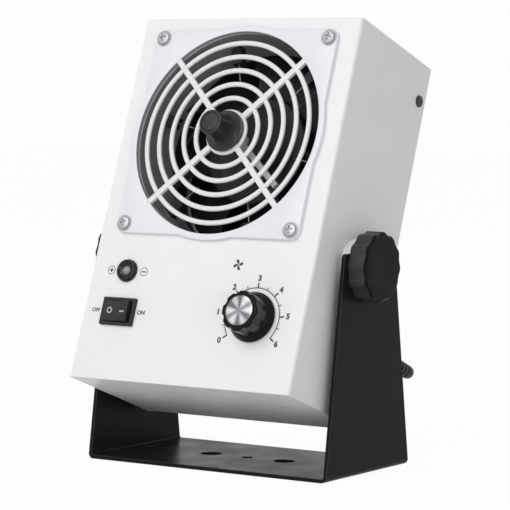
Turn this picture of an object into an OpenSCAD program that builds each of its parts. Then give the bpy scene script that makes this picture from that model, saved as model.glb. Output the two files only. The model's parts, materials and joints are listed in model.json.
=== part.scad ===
// Bench-top ionizing blower: a sheet-steel fan box that tilts in a U-shaped stand.
// Millimetres, +Z up, front towards -Y. The origin is on the bench, in the middle of the stand's base.

/* [Stand] */
// Thickness of the stand's steel sheet
stand_t = 2; // [1.6:0.1:2.4]
// Outside radius of the stand's two bends
stand_bend_r = 3; // [2.6:0.2:4]
// Depth of the base, front to back
base_d = 83.6; // [78:0.2:100]
// Depth of each leg at its top
leg_top_d = 50; // [46:1:60]
// Height of each leg
leg_h = 116; // [114:1:122]
// Corner radius at the top of each leg
leg_corner_r = 3; // [1:0.5:6]
// Distance of the tilt axis below the legs' tops
axis_drop = 7.5; // [7:0.5:14]
// Distance of the tilt axis in front of the middle of the base
axis_forward = 4.5; // [0:0.5:8]
// Diameter of the three bench screw holes
base_hole_d = 6.5; // [4:0.5:8]
// Spacing of the bench screw holes along the base
base_hole_pitch = 62.5; // [58:0.5:64]
// Diameter of the two cable-tie holes
tie_hole_d = 12; // [8:0.5:14]
// Spacing of the two cable-tie holes
tie_hole_pitch = 47; // [40:1:60]

/* [Clamp] */
// Diameter over the lands of a clamp knob
clamp_d = 37; // [30:1:42]
// Thickness of a clamp knob
clamp_t = 10.5; // [9:0.5:16]
// Number of finger flutes on a clamp knob
clamp_flutes = 12; // [6:1:12]
// Depth of a clamp knob's flutes
clamp_flute_depth = 0.9; // [0.5:0.1:1.2]
// Diameter of the clamp stud
stud_d = 6; // [5:0.5:6]
// Length of stud held in the knob
stud_grip = 7; // [5:0.5:7.5]
// Diameter of the friction spacer between leg and housing
spacer_d = 28.8; // [20:0.2:36]
// Thickness of the friction spacer
spacer_t = 4.45; // [3:0.05:6]
// Diameter of the nut inside the side wall
axis_nut_d = 12; // [10:0.5:14]
// Thickness of the nut inside the side wall
axis_nut_t = 6; // [4:0.5:6.5]

/* [Housing] */
// Width of the housing
housing_w = 138; // [136:1:160]
// Height of the housing
housing_h = 202; // [200:1:230]
// Depth of the housing
housing_d = 77; // [75:1:100]
// Thickness of the housing's sheet
sheet_t = 1.2; // [1:0.1:1.5]
// Outside bend radius of the housing's sheet
housing_bend_r = 2; // [1.8:0.1:3]
// Lean of the housing at rest, top to the back
rest_tilt = 20; // [0:1:25]
// Distance of the tilt axis behind the front panel
axis_depth = 38.5; // [32:0.5:44]
// Height of the tilt axis above the housing's underside
axis_rise = 79; // [74:0.5:84]
// Width of the rear shell's side flanges
flange_d = 13; // [11:0.5:15]
// Free height left above and below the side flanges
flange_end = 14; // [8:1:16]
// Diameter of the side screws' thread
side_screw_d = 3; // [2.5:0.5:4]
// Diameter of the side screws' heads
side_head_d = 6.4; // [5.6:0.2:8]
// Distance of the side screws from the rear face
side_screw_inset = 6.7; // [6:0.1:8]
// Distance of the side screws from the top and the underside
side_screw_end = 20.7; // [18:0.1:30]

/* [Fan] */
// Side of the square fan and of the emitter frame
fan_size = 119; // [119:0.5:122]
// Distance of the fan's four corner holes from its sides
fan_hole_inset = 7; // [6.5:0.5:7.5]
// Gap between the fan and the housing's top
fan_top_gap = 5; // [3:0.5:6]
// Thickness of the fan, front to back
fan_t = 38; // [34:1:40]
// Thinnest wall between the air duct and the fan's sides
duct_edge = 3; // [2.5:0.25:3.5]
// Thickness of the fan's two square flanges
fan_flange_t = 4; // [3:0.5:6]
// Wall of the fan's round duct
duct_wall = 2; // [1.5:0.1:2.5]
// Gap between blade tips and duct
tip_gap = 0.8; // [0.5:0.1:1.5]
// Diameter of the impeller's hub
hub_d = 62; // [56:1:66]
// Number of impeller blades
blade_count = 7; // [5:1:9]
// Pitch angle of the blades
blade_angle = 38; // [30:1:42]
// Thickness of a blade
blade_t = 1.8; // [1.2:0.1:2.4]
// Diameter of the motor's stator
stator_d = 46; // [40:1:50]
// Diameter of the fan's shaft
fan_shaft_d = 4; // [3:0.5:5]
// Outside diameter of the two ball bearings
bearing_d = 9; // [8:0.5:11]
// Width of each ball bearing
bearing_t = 4; // [3:0.5:5]

/* [Grille] */
// Distance of the square grille plate's edges inside the fan's
grille_inset = 2; // [1:0.25:2.5]
// Thickness of the grille plate
grille_t = 2.5; // [2:0.1:3.5]
// Corner radius of the grille plate
grille_corner_r = 5; // [3:0.5:5]
// Thinnest edge of the plate beside its air opening
opening_edge = 1.2; // [1:0.1:2]
// How far the round rim stands past the plate's edges
rim_proud = 2.2; // [1.5:0.1:3]
// Gap between the air opening and the outermost ring's middle
ring_first_gap = 6.2; // [5.5:0.1:7]
// Radius of the innermost ring
ring_last_r = 11.35; // [11:0.05:12]
// Number of rings
ring_count = 6; // [4:1:6]
// Width of a ring's bar
ring_w = 2.7; // [2:0.1:3.2]
// Drop of the rings' faces behind the plate's face
ring_drop = 0.4; // [0.2:0.1:0.8]
// Width of a spoke
spoke_w = 3.2; // [2.4:0.1:4]
// Diameter of the four grille bolts
bolt_d = 4; // [3.5:0.5:4]
// Diameter of the bolts' pan heads
bolt_head_d = 7.6; // [7:0.2:8]
// Height of the bolts' pan heads
bolt_head_h = 1.4; // [1:0.1:2]
// Diameter of the washers under the bolt heads
washer_d = 9; // [8.4:0.2:9]
// Thickness of the washers
washer_t = 0.5; // [0.4:0.1:0.8]

/* [Emitter and brush] */
// Thickness of the emitter frame, front to back
emitter_t = 24; // [22:0.5:24]
// Number of emitter pins
pin_count = 6; // [4:1:6]
// Diameter of an emitter pin
pin_d = 1.2; // [1:0.1:1.6]
// Free length of the pins past their holders
pin_free = 12.5; // [9:0.5:14]
// Reach of the pin holders into the duct
holder_reach = 10; // [8:0.5:12]
// Width of a pin holder
holder_w = 6; // [5:0.5:7]
// Direction of the first pin, degrees from +X
first_pin_angle = 167; // [160:1:180]
// Depth of the pins behind the front panel
pin_depth = 16.6; // [16:0.2:17]
// Diameter of the brush knob's face
brush_face_d = 13.6; // [12:0.2:15]
// Diameter of the brush knob's foot
brush_foot_d = 22.6; // [20:0.2:24]
// Height of the brush knob's face in front of the panel
brush_knob_h = 18; // [16:0.5:22]
// Diameter of the brush shaft
brush_shaft_d = 4; // [3:0.5:5]
// Direction in which the brush arm is parked, degrees from +X
brush_park_angle = -41; // [-50:1:-30]
// Overlap of the brush arm with the pins
brush_overlap = 4; // [3:0.5:6]
// Width of the brush arm
brush_arm_w = 3.2; // [2.4:0.2:5]
// Thickness of the brush arm
brush_arm_t = 2.4; // [2:0.1:3]
// Length of the bristles
bristle_l = 2.4; // [1.8:0.1:3]

/* [Controls] */
// Distance of the lamp and the switch from the housing's side
switch_inset = 23.6; // [18:0.2:26]
// Height of the power switch
switch_rise = 36.8; // [32:0.2:40]
// Width of the power switch's bezel
switch_w = 21; // [19:0.2:24]
// Height of the power switch's bezel
switch_h = 15; // [14:0.2:18]
// Depth of the power switch behind the panel
switch_d = 15; // [12:0.5:18]
// Angle that the rocker leans each way
rocker_lean = 8; // [5:0.5:10]
// Height of the ion lamp
lamp_rise = 59.4; // [57:0.2:62]
// Diameter of the lamp's bezel
lamp_d = 12.4; // [11:0.2:14]
// Diameter of the lamp
led_d = 5; // [4.5:0.5:5.5]
// Distance of the speed knob from the housing's side
dial_inset = 30.1; // [27:0.2:33]
// Height of the speed knob
dial_rise = 38.6; // [36:0.2:40]
// Diameter of the speed knob's skirt
skirt_d = 26.6; // [25:0.2:28]
// Diameter of the speed knob's grip
grip_d = 21.6; // [20.4:0.2:23]
// Height of the speed knob's face in front of the panel
dial_knob_h = 14; // [12.5:0.5:18]
// Diameter of the metal cap in the speed knob's face
cap_d = 16; // [14:0.2:17]
// Number of flutes on the speed knob's grip
grip_flutes = 8; // [6:1:10]
// Diameter of the control's shaft
dial_shaft_d = 6; // [4:0.5:6]

/* [Rear and inside] */
// Distance of the rear air opening's edge inside the fan's sides
rear_open_edge = 4.5; // [4:0.5:7]
// Thickness of the rear finger guard
guard_t = 1.6; // [1.2:0.1:2.4]
// Distance of the cord relief from the housing's side
relief_inset = 10.5; // [10.5:0.5:18]
// Height of the cord relief
relief_rise = 45.3; // [40:0.5:60]
// Length of the cord relief behind the rear face
relief_l = 56; // [40:1:60]
// Diameter of the cord relief at the rear face
relief_d = 12; // [10:0.5:12]
// Diameter of the cord relief at its end
relief_tip_d = 7.4; // [6:0.2:9]
// Length of the circuit board
board_w = 100; // [98:1:108]
// Depth of the circuit board
board_d = 44; // [42:1:46]
// Height of the circuit board's pillars
pillar_h = 6; // [4:0.5:8]
// Width of the high-voltage module
hv_w = 44; // [36:1:46]
// Height of the high-voltage module
hv_h = 26; // [20:1:30]
// Width of the power module
power_w = 24; // [18:1:26]
// Height of the power module
power_h = 18; // [14:1:24]
// Height of the two capacitors
capacitor_h = 14; // [10:1:18]

/* [Hidden] */
$fn = 64;

// Clearances
slip = 0.15;        // between faces that slide on each other
run = 0.05;         // radial, round a shaft, stud or pin
drill = 0.3;        // radial, round a screw that passes through
nest = 0.1;         // between nested sheets

// Stand and tilt axis
axis_h = leg_h - axis_drop;
stand_inside = housing_w + 2 * (spacer_t + slip);
stand_w = stand_inside + 2 * stand_t;
leg_slope = atan((base_d - leg_top_d) / 2 / leg_h);
clamp_face = stand_w / 2 + slip;        // where a clamp knob's inner face is, from the middle

// Inside of the housing
inside_w = housing_w - 2 * sheet_t;
fan_rise = housing_h - fan_top_gap - fan_size / 2;
fan_pitch = fan_size - 2 * fan_hole_inset;
duct_d = fan_size - 2 * duct_edge;
emitter_back = sheet_t + emitter_t;
fan_back = emitter_back + fan_t;
duct_r = duct_d / 2;

// Grille
grille_w = fan_size - 2 * grille_inset;
opening_d = grille_w - 2 * opening_edge;
rim_d = grille_w + 2 * rim_proud;
ring_first_r = opening_d / 2 - ring_first_gap;
ring_pitch = (ring_first_r - ring_last_r) / (ring_count - 1);
rear_open_d = fan_size - 2 * rear_open_edge;

// Brush, pins and hub
pin_tip_r = duct_r - holder_reach - pin_free;
brush_arm_r = pin_tip_r + brush_overlap;
grille_hub_d = brush_shaft_d + 8;
brush_gap = 0.3;
brush_foot_z = grille_t + brush_gap;
bristle_gap = 0.4;
arm_back = pin_depth - pin_d / 2 - bristle_gap - bristle_l;
arm_front = arm_back - brush_arm_t;
holder_t = 5;

// Impeller and motor
hub_front = emitter_back + 3;
hub_back = fan_back - fan_flange_t - 3;
hub_wall = 2;
tower_wall = 1.5;
tower_d = bearing_d + 2 * tower_wall;
tower_front = hub_front + hub_wall + 3;
stator_front = tower_front + 2;
stator_back = hub_back - 4;
motor_plate_t = fan_flange_t;
nut_t = 3.2;
nut_d = 8.1;

// Controls
switch_x = housing_w / 2 - switch_inset;
dial_x = housing_w / 2 - dial_inset;
relief_x = housing_w / 2 - relief_inset;
bushing_d = 7;
bushing_out = 5;
pot_d = 16;
pot_t = 8;
pot_floor = 2;
cavity_h = bushing_out + 0.4;
cavity_d = skirt_d - 13.6;
cap_t = 1.4;
cap_proud = 0.4;
skirt_t = 1.2;
skirt_slope_h = 3;
skirt_gap = 0.4;
bezel_t = 1.8;
led_dome = 1.6;
rocker_w = switch_w - 4.6;
rocker_h = switch_h - 4;
rocker_out = 3.2;
rocker_gap = 0.3;
switch_floor = 2;

// Circuit board
board_t = 1.6;
board_z = sheet_t + pillar_h;
board_back = housing_d - sheet_t - 3;
board_front = board_back - board_d;
pillar_d = 6;
pillar_inset = 4;
board_screw_d = 3;
hv_x = -board_w / 2 + 4;
power_x = hv_x + hv_w + 3;
power_d = 20;
module_y = 10;
block_d = 8;
block_h = 9;
capacitor_y = 17;
capacitor_d = 8;

// ---------- frames ----------

// The housing's own frame: origin at the middle of its lower front edge, leaned back at rest
module in_housing() {
    translate([0, -axis_forward, axis_h])
        rotate([-rest_tilt, 0, 0])
            translate([0, -axis_depth, -axis_rise])
                children();
}

// A place on the front panel: local +Z points out of the panel, local +Y up the panel
module at_front(x, rise) {
    in_housing() translate([x, 0, rise]) rotate([90, 0, 0]) children();
}

module at_fan() {
    at_front(0, fan_rise) children();
}

// A place on the rear panel: local +Z points out behind
module at_rear(x, rise) {
    in_housing() translate([x, housing_d, rise]) rotate([-90, 0, 0]) children();
}

// The tilt axis on one side: local +Z points outward
module at_axis(side) {
    translate([0, -axis_forward, axis_h])
        rotate([-rest_tilt, 0, 0])
            rotate([0, side * 90, 0])
                children();
}

// ---------- shared shapes ----------

// A round bar from one local height to another
module bar(d, z0, z1) {
    translate([0, 0, z0]) cylinder(d = d, h = z1 - z0);
}

// A ring from one local height to another
module tube(d_out, d_in, z0, z1) {
    difference() {
        bar(d_out, z0, z1);
        bar(d_in, z0 - 1, z1 + 1);
    }
}

// A hexagon nut, measured across flats
module hex_nut(across, bore, z0, z1) {
    difference() {
        translate([0, 0, z0]) cylinder(d = across / cos(30), h = z1 - z0, $fn = 6);
        bar(bore, z0 - 1, z1 + 1);
    }
}

// A square with rounded corners, centred
module round_square(w, r) {
    square([w, w - 2 * r], center = true);
    square([w - 2 * r, w], center = true);
    for (sx = [-1, 1], sy = [-1, 1])
        translate([sx * (w / 2 - r), sy * (w / 2 - r)]) circle(r);
}

// The outline of a tray: w wide, d deep, its two corners at y = 0 rounded
module tray_outline(w, d, r) {
    translate([-w / 2, r]) square([w, d - r]);
    translate([-(w / 2 - r), 0]) square([w - 2 * r, d]);
    for (s = [-1, 1]) translate([s * (w / 2 - r), r]) circle(r);
}

// The section of a sheet bent twice into a U, open towards +Y
module bent_sheet(w, d, t, r) {
    difference() {
        tray_outline(w, d, r);
        translate([0, t]) tray_outline(w - 2 * t, d, r - t);
    }
}

// Copies at the four corners of a square pitch
module at_corners(pitch) {
    for (sx = [-1, 1], sy = [-1, 1]) translate([sx * pitch / 2, sy * pitch / 2, 0]) children();
}

// Copies turned round the local Z axis
module around(count, first = 0) {
    for (i = [0 : count - 1]) rotate([0, 0, first + i * 360 / count]) children();
}

// ---------- stand ----------

module leg_outline() {
    tan_z = leg_h - leg_corner_r;
    centre_y = base_d / 2 - tan_z * tan(leg_slope) - leg_corner_r / cos(leg_slope);
    edge_y = centre_y + leg_corner_r * cos(leg_slope);
    edge_z = tan_z + leg_corner_r * sin(leg_slope);
    polygon([
        [-base_d / 2, 0], [base_d / 2, 0], [edge_y, edge_z],
        [centre_y, leg_h], [-centre_y, leg_h], [-edge_y, edge_z]
    ]);
    for (s = [-1, 1]) translate([s * centre_y, tan_z]) circle(leg_corner_r);
}

module stand() {
    color("#2a2b2d") difference() {
        intersection() {
            translate([0, base_d / 2, 0]) rotate([90, 0, 0])
                linear_extrude(base_d) bent_sheet(stand_w, leg_h, stand_t, stand_bend_r);
            translate([-stand_w / 2, 0, 0]) rotate([90, 0, 90]) linear_extrude(stand_w) leg_outline();
        }
        for (x = [-1, 0, 1]) translate([x * base_hole_pitch, 0, 0]) bar(base_hole_d, -1, stand_t + 1);
        for (s = [-1, 1]) translate([s * tie_hole_pitch / 2, 0, 0]) bar(tie_hole_d, -1, stand_t + 1);
        for (s = [-1, 1]) at_axis(s) bar(stud_d + 2 * drill, stand_inside / 2 - 1, stand_w / 2 + 1);
    }
}

// A fluted clamp knob with a chamfered face, bored for its stud
module clamp_knob(side) {
    chamfer = 1.2;
    flute_r = 12;
    color("#1c1d1f") at_axis(side) difference() {
        union() {
            bar(clamp_d, clamp_face, clamp_face + clamp_t - chamfer);
            translate([0, 0, clamp_face + clamp_t - chamfer])
                cylinder(d1 = clamp_d, d2 = clamp_d - 2 * chamfer, h = chamfer);
        }
        around(clamp_flutes) translate([clamp_d / 2 - clamp_flute_depth + flute_r, 0, 0])
            bar(2 * flute_r, clamp_face - 1, clamp_face + clamp_t + 1);
        bar(stud_d, clamp_face - 1, clamp_face + stud_grip);
    }
}

module clamp_stud(side) {
    color("#b9bcc0") at_axis(side)
        bar(stud_d, housing_w / 2 - sheet_t - axis_nut_t, clamp_face + stud_grip);
}

module tilt_spacers() {
    color("#f2f2f0") for (s = [-1, 1])
        at_axis(s) tube(spacer_d, stud_d + 2 * drill, housing_w / 2, housing_w / 2 + spacer_t);
}

module axis_nuts() {
    nut_face = housing_w / 2 - sheet_t;
    color("#a9acb0") for (s = [-1, 1])
        at_axis(s) tube(axis_nut_d, stud_d + 2 * run, nut_face - axis_nut_t, nut_face);
}

// ---------- housing ----------

module side_screw_places() {
    for (s = [-1, 1], rise = [side_screw_end, housing_h - side_screw_end])
        in_housing() translate([s * housing_w / 2, housing_d - side_screw_inset, rise])
            rotate([0, s * 90, 0]) children();
}

module front_shell() {
    color("#f1f1f0") difference() {
        in_housing() linear_extrude(housing_h)
            bent_sheet(housing_w, housing_d, sheet_t, housing_bend_r);
        at_fan() bar(opening_d, -sheet_t - 1, 1);
        at_fan() at_corners(fan_pitch) bar(bolt_d + 2 * drill, -sheet_t - 1, 1);
        at_front(-switch_x, lamp_rise) bar(led_d + 2, -sheet_t - 1, 1);
        at_front(-switch_x, switch_rise) translate([0, 0, -sheet_t / 2])
            cube([switch_w - 1.6, switch_h - 1.6, sheet_t + 2], center = true);
        at_front(dial_x, dial_rise) bar(bushing_d + 2 * run, -sheet_t - 1, 1);
        for (s = [-1, 1]) at_axis(s) bar(stud_d + 2 * drill, housing_w / 2 - 3, housing_w / 2 + 1);
        side_screw_places() bar(side_screw_d + 2 * drill, -sheet_t - 1, 1);
    }
}

// Top, back and bottom in one sheet, with two flanges that lie inside the side walls
module rear_shell() {
    w = inside_w - 2 * nest;
    color("#ececec") difference() {
        union() {
            in_housing() translate([-w / 2, housing_d, housing_h / 2]) rotate([0, 90, 0]) rotate([0, 0, 180])
                linear_extrude(w) bent_sheet(housing_h, housing_d - sheet_t, sheet_t, housing_bend_r);
            for (s = [-1, 1])
                in_housing() translate([s * (w - sheet_t) / 2, housing_d - flange_d / 2, housing_h / 2])
                    cube([sheet_t, flange_d - sheet_t, housing_h - 2 * flange_end], center = true);
        }
        at_rear(0, fan_rise) bar(rear_open_d, -sheet_t - 1, 1);
        at_rear(0, fan_rise) at_corners(fan_pitch) bar(bolt_d + 2 * drill, -sheet_t - 1, 1);
        at_rear(relief_x, relief_rise) bar(relief_d, -sheet_t - 1, 1);
        side_screw_places() bar(side_screw_d + 2 * run, -3 * sheet_t, 1);
        board_places() bar(board_screw_d + 2 * run, -1, sheet_t + 1);
    }
}

// Cross-slot cut into a pan head whose face is at the given height
module cross_slot(size, face) {
    for (a = [0, 90]) rotate([0, 0, a])
        translate([0, 0, face]) cube([size, size / 4, 1.2], center = true);
}

module side_screws() {
    head_h = 1.7;
    color("#202124") side_screw_places() difference() {
        union() {
            bar(side_screw_d, -6, 0);
            bar(side_head_d, 0, head_h);
        }
        cross_slot(side_head_d * 0.6, head_h);
    }
}

// ---------- front grille ----------

module front_grille() {
    ring_face = grille_t - ring_drop;
    color("#dcdbe2") at_fan() difference() {
        union() {
            linear_extrude(grille_t) difference() {
                union() {
                    round_square(grille_w, grille_corner_r);
                    circle(d = rim_d);
                }
                circle(d = opening_d);
            }
            for (i = [0 : ring_count - 1])
                tube(2 * (ring_first_r - i * ring_pitch) + ring_w,
                     2 * (ring_first_r - i * ring_pitch) - ring_w, 0, ring_face);
            around(4, 45) translate([0, -spoke_w / 2, 0]) cube([opening_d / 2 + 1, spoke_w, grille_t]);
            bar(grille_hub_d, 0, grille_t);
        }
        bar(brush_shaft_d + 2 * run, -1, grille_t + 1);
        at_corners(fan_pitch) bar(bolt_d + 2 * drill, -1, grille_t + 1);
    }
}

module grille_washers() {
    color("#c3c5c8") at_fan() at_corners(fan_pitch)
        tube(washer_d, bolt_d + 2 * drill, grille_t, grille_t + washer_t);
}

module grille_bolts() {
    head_z = grille_t + washer_t;
    color("#c9cbce") at_fan() at_corners(fan_pitch) difference() {
        union() {
            bar(bolt_d, -fan_back - nut_t - 1.5, head_z);
            bar(bolt_head_d, head_z, head_z + bolt_head_h);
        }
        cross_slot(bolt_head_d * 0.6, head_z + bolt_head_h);
    }
}

module fan_nuts() {
    color("#b4b7bb") at_fan() at_corners(fan_pitch)
        hex_nut(nut_d, bolt_d + 2 * run, -fan_back - nut_t, -fan_back);
}

// ---------- brush ----------

// A knob that flares from a round face to a wide foot
module brush_knob() {
    steps = 10;
    face_r = brush_face_d / 2;
    foot_r = brush_foot_d / 2;
    flare_h = (brush_knob_h - brush_foot_z) * 0.62;
    flare = [for (i = [0 : steps]) let (a = 90 * i / steps)
        [foot_r - (foot_r - face_r) * sin(a), brush_foot_z + 1 + flare_h * (1 - cos(a))]];
    profile = concat(
        [[0, brush_foot_z], [foot_r, brush_foot_z]], flare,
        [[face_r, brush_knob_h - 0.8], [face_r - 0.8, brush_knob_h], [0, brush_knob_h]]);
    color("#1f2022") at_fan() difference() {
        rotate_extrude() polygon(profile);
        bar(brush_shaft_d, brush_foot_z - 1, brush_knob_h - 4);
    }
}

module brush_shaft() {
    color("#b9bcc0") at_fan() bar(brush_shaft_d, -arm_back, brush_knob_h - 4);
}

module brush_arm() {
    boss_d = brush_shaft_d + 5;
    root_r = (brush_shaft_d + boss_d) / 4;
    color("#b4b6b8") at_fan() {
        tube(boss_d, brush_shaft_d, -arm_back - 0.6, -arm_front + 1);
        rotate([0, 0, brush_park_angle]) translate([root_r, -brush_arm_w / 2, -arm_back])
            cube([brush_arm_r - root_r, brush_arm_w, brush_arm_t]);
    }
}

// Two rows of tufts that wipe past the pin tips
module brush_bristles() {
    tuft_d = 1.1;
    tufts = 6;
    reach = 2 * brush_overlap;
    color("#e6e3da") at_fan() rotate([0, 0, brush_park_angle])
        for (i = [0 : tufts - 1], s = [-1, 1])
            translate([brush_arm_r - 1 - i * reach / (tufts - 1), s * brush_arm_w / 4, 0])
                bar(tuft_d, -arm_back - bristle_l, -arm_back);
}

// ---------- emitter ----------

module pin_places() {
    around(pin_count, first_pin_angle) translate([0, 0, -pin_depth]) rotate([0, 90, 0]) children();
}

module emitter_frame() {
    color("#1b1c1e") at_fan() difference() {
        union() {
            difference() {
                translate([0, 0, -emitter_back]) linear_extrude(emitter_t) round_square(fan_size, 5);
                bar(duct_d, -emitter_back - 1, -sheet_t + 1);
            }
            around(pin_count, first_pin_angle)
                translate([duct_r - holder_reach, -holder_w / 2, -pin_depth - holder_t / 2])
                    cube([holder_reach + 1, holder_w, holder_t]);
        }
        at_corners(fan_pitch) bar(bolt_d + 2 * drill, -emitter_back - 1, -sheet_t + 1);
        pin_places() bar(pin_d + 2 * run, duct_r - holder_reach - 1, duct_r - 2);
    }
}

module emitter_pins() {
    tip_l = 4;
    color("#cfd1d3") at_fan() pin_places() {
        bar(pin_d, pin_tip_r + tip_l, duct_r - 2);
        translate([0, 0, pin_tip_r]) cylinder(d1 = pin_d / 4, d2 = pin_d, h = tip_l);
    }
}

// ---------- fan ----------

module fan_frame() {
    color("#18191b") at_fan() difference() {
        union() {
            difference() {
                union() {
                    for (z = [-fan_back, -emitter_back - fan_flange_t])
                        translate([0, 0, z]) linear_extrude(fan_flange_t) round_square(fan_size, 5);
                    bar(duct_d + 2 * duct_wall, -fan_back, -emitter_back);
                }
                bar(duct_d, -fan_back - 1, -emitter_back + 1);
            }
            around(4, 0) translate([0, -3, -fan_back]) cube([duct_r + 1, 6, motor_plate_t]);
            bar(hub_d, -fan_back, -fan_back + motor_plate_t);
            bar(tower_d, -fan_back, -tower_front);
        }
        at_corners(fan_pitch) bar(bolt_d + 2 * drill, -fan_back - 1, -emitter_back + 1);
        bar(bearing_d + 2 * run, -fan_back + motor_plate_t - 1, -tower_front + 1);
    }
}

module fan_bearings() {
    color("#a3a6aa") at_fan() {
        tube(bearing_d, fan_shaft_d + 2 * run, -tower_front - bearing_t, -tower_front);
        tube(bearing_d, fan_shaft_d + 2 * run, -fan_back + motor_plate_t - 1,
             -fan_back + motor_plate_t - 1 + bearing_t);
    }
}

module fan_shaft() {
    color("#b9bcc0") at_fan()
        bar(fan_shaft_d, -fan_back + motor_plate_t + slip, -hub_front - hub_wall / 2);
}

module fan_stator() {
    color("#8a5a2c") at_fan() tube(stator_d, tower_d + 2 * run, -stator_back, -stator_front);
}

// A hub cup, closed at the front, with flat pitched blades
module fan_impeller() {
    tip_r = duct_r - tip_gap;
    color("#222426") at_fan() difference() {
        union() {
            tube(hub_d, hub_d - 2 * hub_wall, -hub_back, -hub_front);
            bar(hub_d - hub_wall, -hub_front - hub_wall, -hub_front);
            intersection() {
                tube(2 * tip_r, hub_d - hub_wall, -hub_back, -hub_front);
                around(blade_count)
                    translate([(tip_r + hub_d / 2) / 2, 0, -(hub_front + hub_back) / 2])
                        rotate([90 - blade_angle, 0, 0])
                            cube([tip_r, blade_t, 2 * (hub_back - hub_front)], center = true);
            }
        }
        bar(fan_shaft_d, -hub_back, -hub_front - hub_wall / 2);
    }
}

// ---------- rear guard ----------

module rear_guard() {
    guard_w = 2;
    eye_d = 10;
    color("#c9cbcd") at_rear(0, fan_rise) difference() {
        union() {
            for (i = [0 : ring_count - 1])
                tube(2 * (ring_first_r + 4 - i * ring_pitch) + guard_w,
                     2 * (ring_first_r + 4 - i * ring_pitch) - guard_w, 0, guard_t);
            around(4, 45) translate([0, -guard_w, 0]) cube([fan_pitch / 2 * sqrt(2), 2 * guard_w, guard_t]);
            at_corners(fan_pitch) bar(eye_d, 0, guard_t);
        }
        at_corners(fan_pitch) bar(bolt_d + 2 * drill, -1, guard_t + 1);
    }
}

module guard_screws() {
    head_h = 1.8;
    color("#c9cbce") at_rear(0, fan_rise) at_corners(fan_pitch) difference() {
        union() {
            bar(bolt_d, -sheet_t - nut_t - 1, guard_t);
            bar(bolt_head_d, guard_t, guard_t + head_h);
        }
        cross_slot(bolt_head_d * 0.6, guard_t + head_h);
    }
}

module guard_nuts() {
    color("#b4b7bb") at_rear(0, fan_rise) at_corners(fan_pitch)
        hex_nut(7, bolt_d + 2 * run, -sheet_t - nut_t, -sheet_t);
}

// ---------- controls ----------

// A bezel with a dished face round the lamp
module lamp_bezel() {
    out = 2.6;
    color("#1b1c1e") at_front(-switch_x, lamp_rise) difference() {
        union() {
            bar(lamp_d, 0, 1);
            translate([0, 0, 1]) cylinder(d1 = lamp_d, d2 = lamp_d - 1.6, h = out - 1);
            bar(led_d + 2 - 2 * run, -5, 0);
        }
        bar(led_d + 2 * run, -6, out);
        translate([0, 0, 1]) cylinder(d1 = led_d + 2 * run, d2 = lamp_d - 3, h = out - 1 + 0.01);
    }
}

module lamp() {
    color("#c8ccd0") at_front(-switch_x, lamp_rise) {
        bar(led_d, -8, led_dome);
        translate([0, 0, led_dome]) cylinder(d1 = led_d, d2 = led_d * 0.5, h = 0.8);
    }
}

module switch_body() {
    deep = switch_d - bezel_t;
    color("#1a1b1d") at_front(-switch_x, switch_rise) difference() {
        union() {
            translate([0, 0, bezel_t / 2]) cube([switch_w, switch_h, bezel_t], center = true);
            translate([0, 0, -deep / 2]) cube([switch_w - 2, switch_h - 2, deep], center = true);
        }
        translate([-rocker_w / 2 - rocker_gap, -rocker_h / 2 - rocker_gap, -deep + switch_floor])
            cube([rocker_w + 2 * rocker_gap, rocker_h + 2 * rocker_gap, switch_d]);
    }
}

// A rocker with a shallow V face, leaning towards its pressed side
module switch_rocker() {
    depth = 5.5;
    valley = tan(rocker_lean) * rocker_w / 2;
    color("#232427") at_front(-switch_x, switch_rise) rotate([0, -rocker_lean, 0])
        translate([0, rocker_h / 2, 0]) rotate([90, 0, 0]) linear_extrude(rocker_h) polygon([
            [-rocker_w / 2, rocker_out], [0, rocker_out - valley / 2], [rocker_w / 2, rocker_out],
            [rocker_w / 2 - 0.8, rocker_out - 4], [2, -depth],
            [-2, -depth], [-rocker_w / 2 + 0.8, rocker_out - 4]
        ]);
}

module switch_terminals() {
    tab = [0.8, 4.8, switch_d / 2];
    color("#c6a15a") at_front(-switch_x, switch_rise) for (s = [-1, 1])
        translate([s * switch_w / 4, 0, -switch_d + bezel_t - tab[2] / 2]) cube(tab, center = true);
}

// The variable resistor behind the panel and its threaded bushing
module speed_control() {
    color("#7d8084") at_front(dial_x, dial_rise) difference() {
        union() {
            bar(pot_d, -sheet_t - pot_t, -sheet_t);
            bar(bushing_d, -sheet_t, bushing_out);
        }
        bar(dial_shaft_d + 2 * run, -sheet_t - pot_t + pot_floor, bushing_out + 1);
    }
}

module speed_control_nut() {
    color("#b4b7bb") at_front(dial_x, dial_rise) hex_nut(10, bushing_d + 2 * run, 0, 2);
}

module speed_shaft() {
    color("#b9bcc0") at_front(dial_x, dial_rise)
        bar(dial_shaft_d, -sheet_t - pot_t + pot_floor + slip, dial_knob_h - cap_t - 1);
}

module speed_knob() {
    flute_r = 3.2;
    face_z = dial_knob_h - cap_proud;
    color("#1b1c1e") at_front(dial_x, dial_rise) difference() {
        union() {
            bar(skirt_d, skirt_gap, skirt_gap + skirt_t);
            translate([0, 0, skirt_gap + skirt_t]) cylinder(d1 = skirt_d, d2 = grip_d + 1, h = skirt_slope_h);
            bar(grip_d, skirt_gap, face_z - 0.8);
            translate([0, 0, face_z - 0.8]) cylinder(d1 = grip_d, d2 = grip_d - 1.2, h = 0.8);
        }
        around(grip_flutes, 180 / grip_flutes) translate([grip_d / 2 + flute_r - 0.9, 0, 0])
            bar(2 * flute_r, skirt_gap + skirt_t + skirt_slope_h, face_z + 1);
        bar(cap_d, face_z - cap_t + cap_proud, face_z + 1);
        bar(cavity_d, skirt_gap - 1, cavity_h);
        bar(dial_shaft_d, cavity_h - 1, face_z - cap_t - 0.2);
    }
}

module speed_knob_cap() {
    color("#d6d8da") at_front(dial_x, dial_rise) bar(cap_d, dial_knob_h - cap_t, dial_knob_h);
}

// ---------- rear and inside ----------

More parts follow.
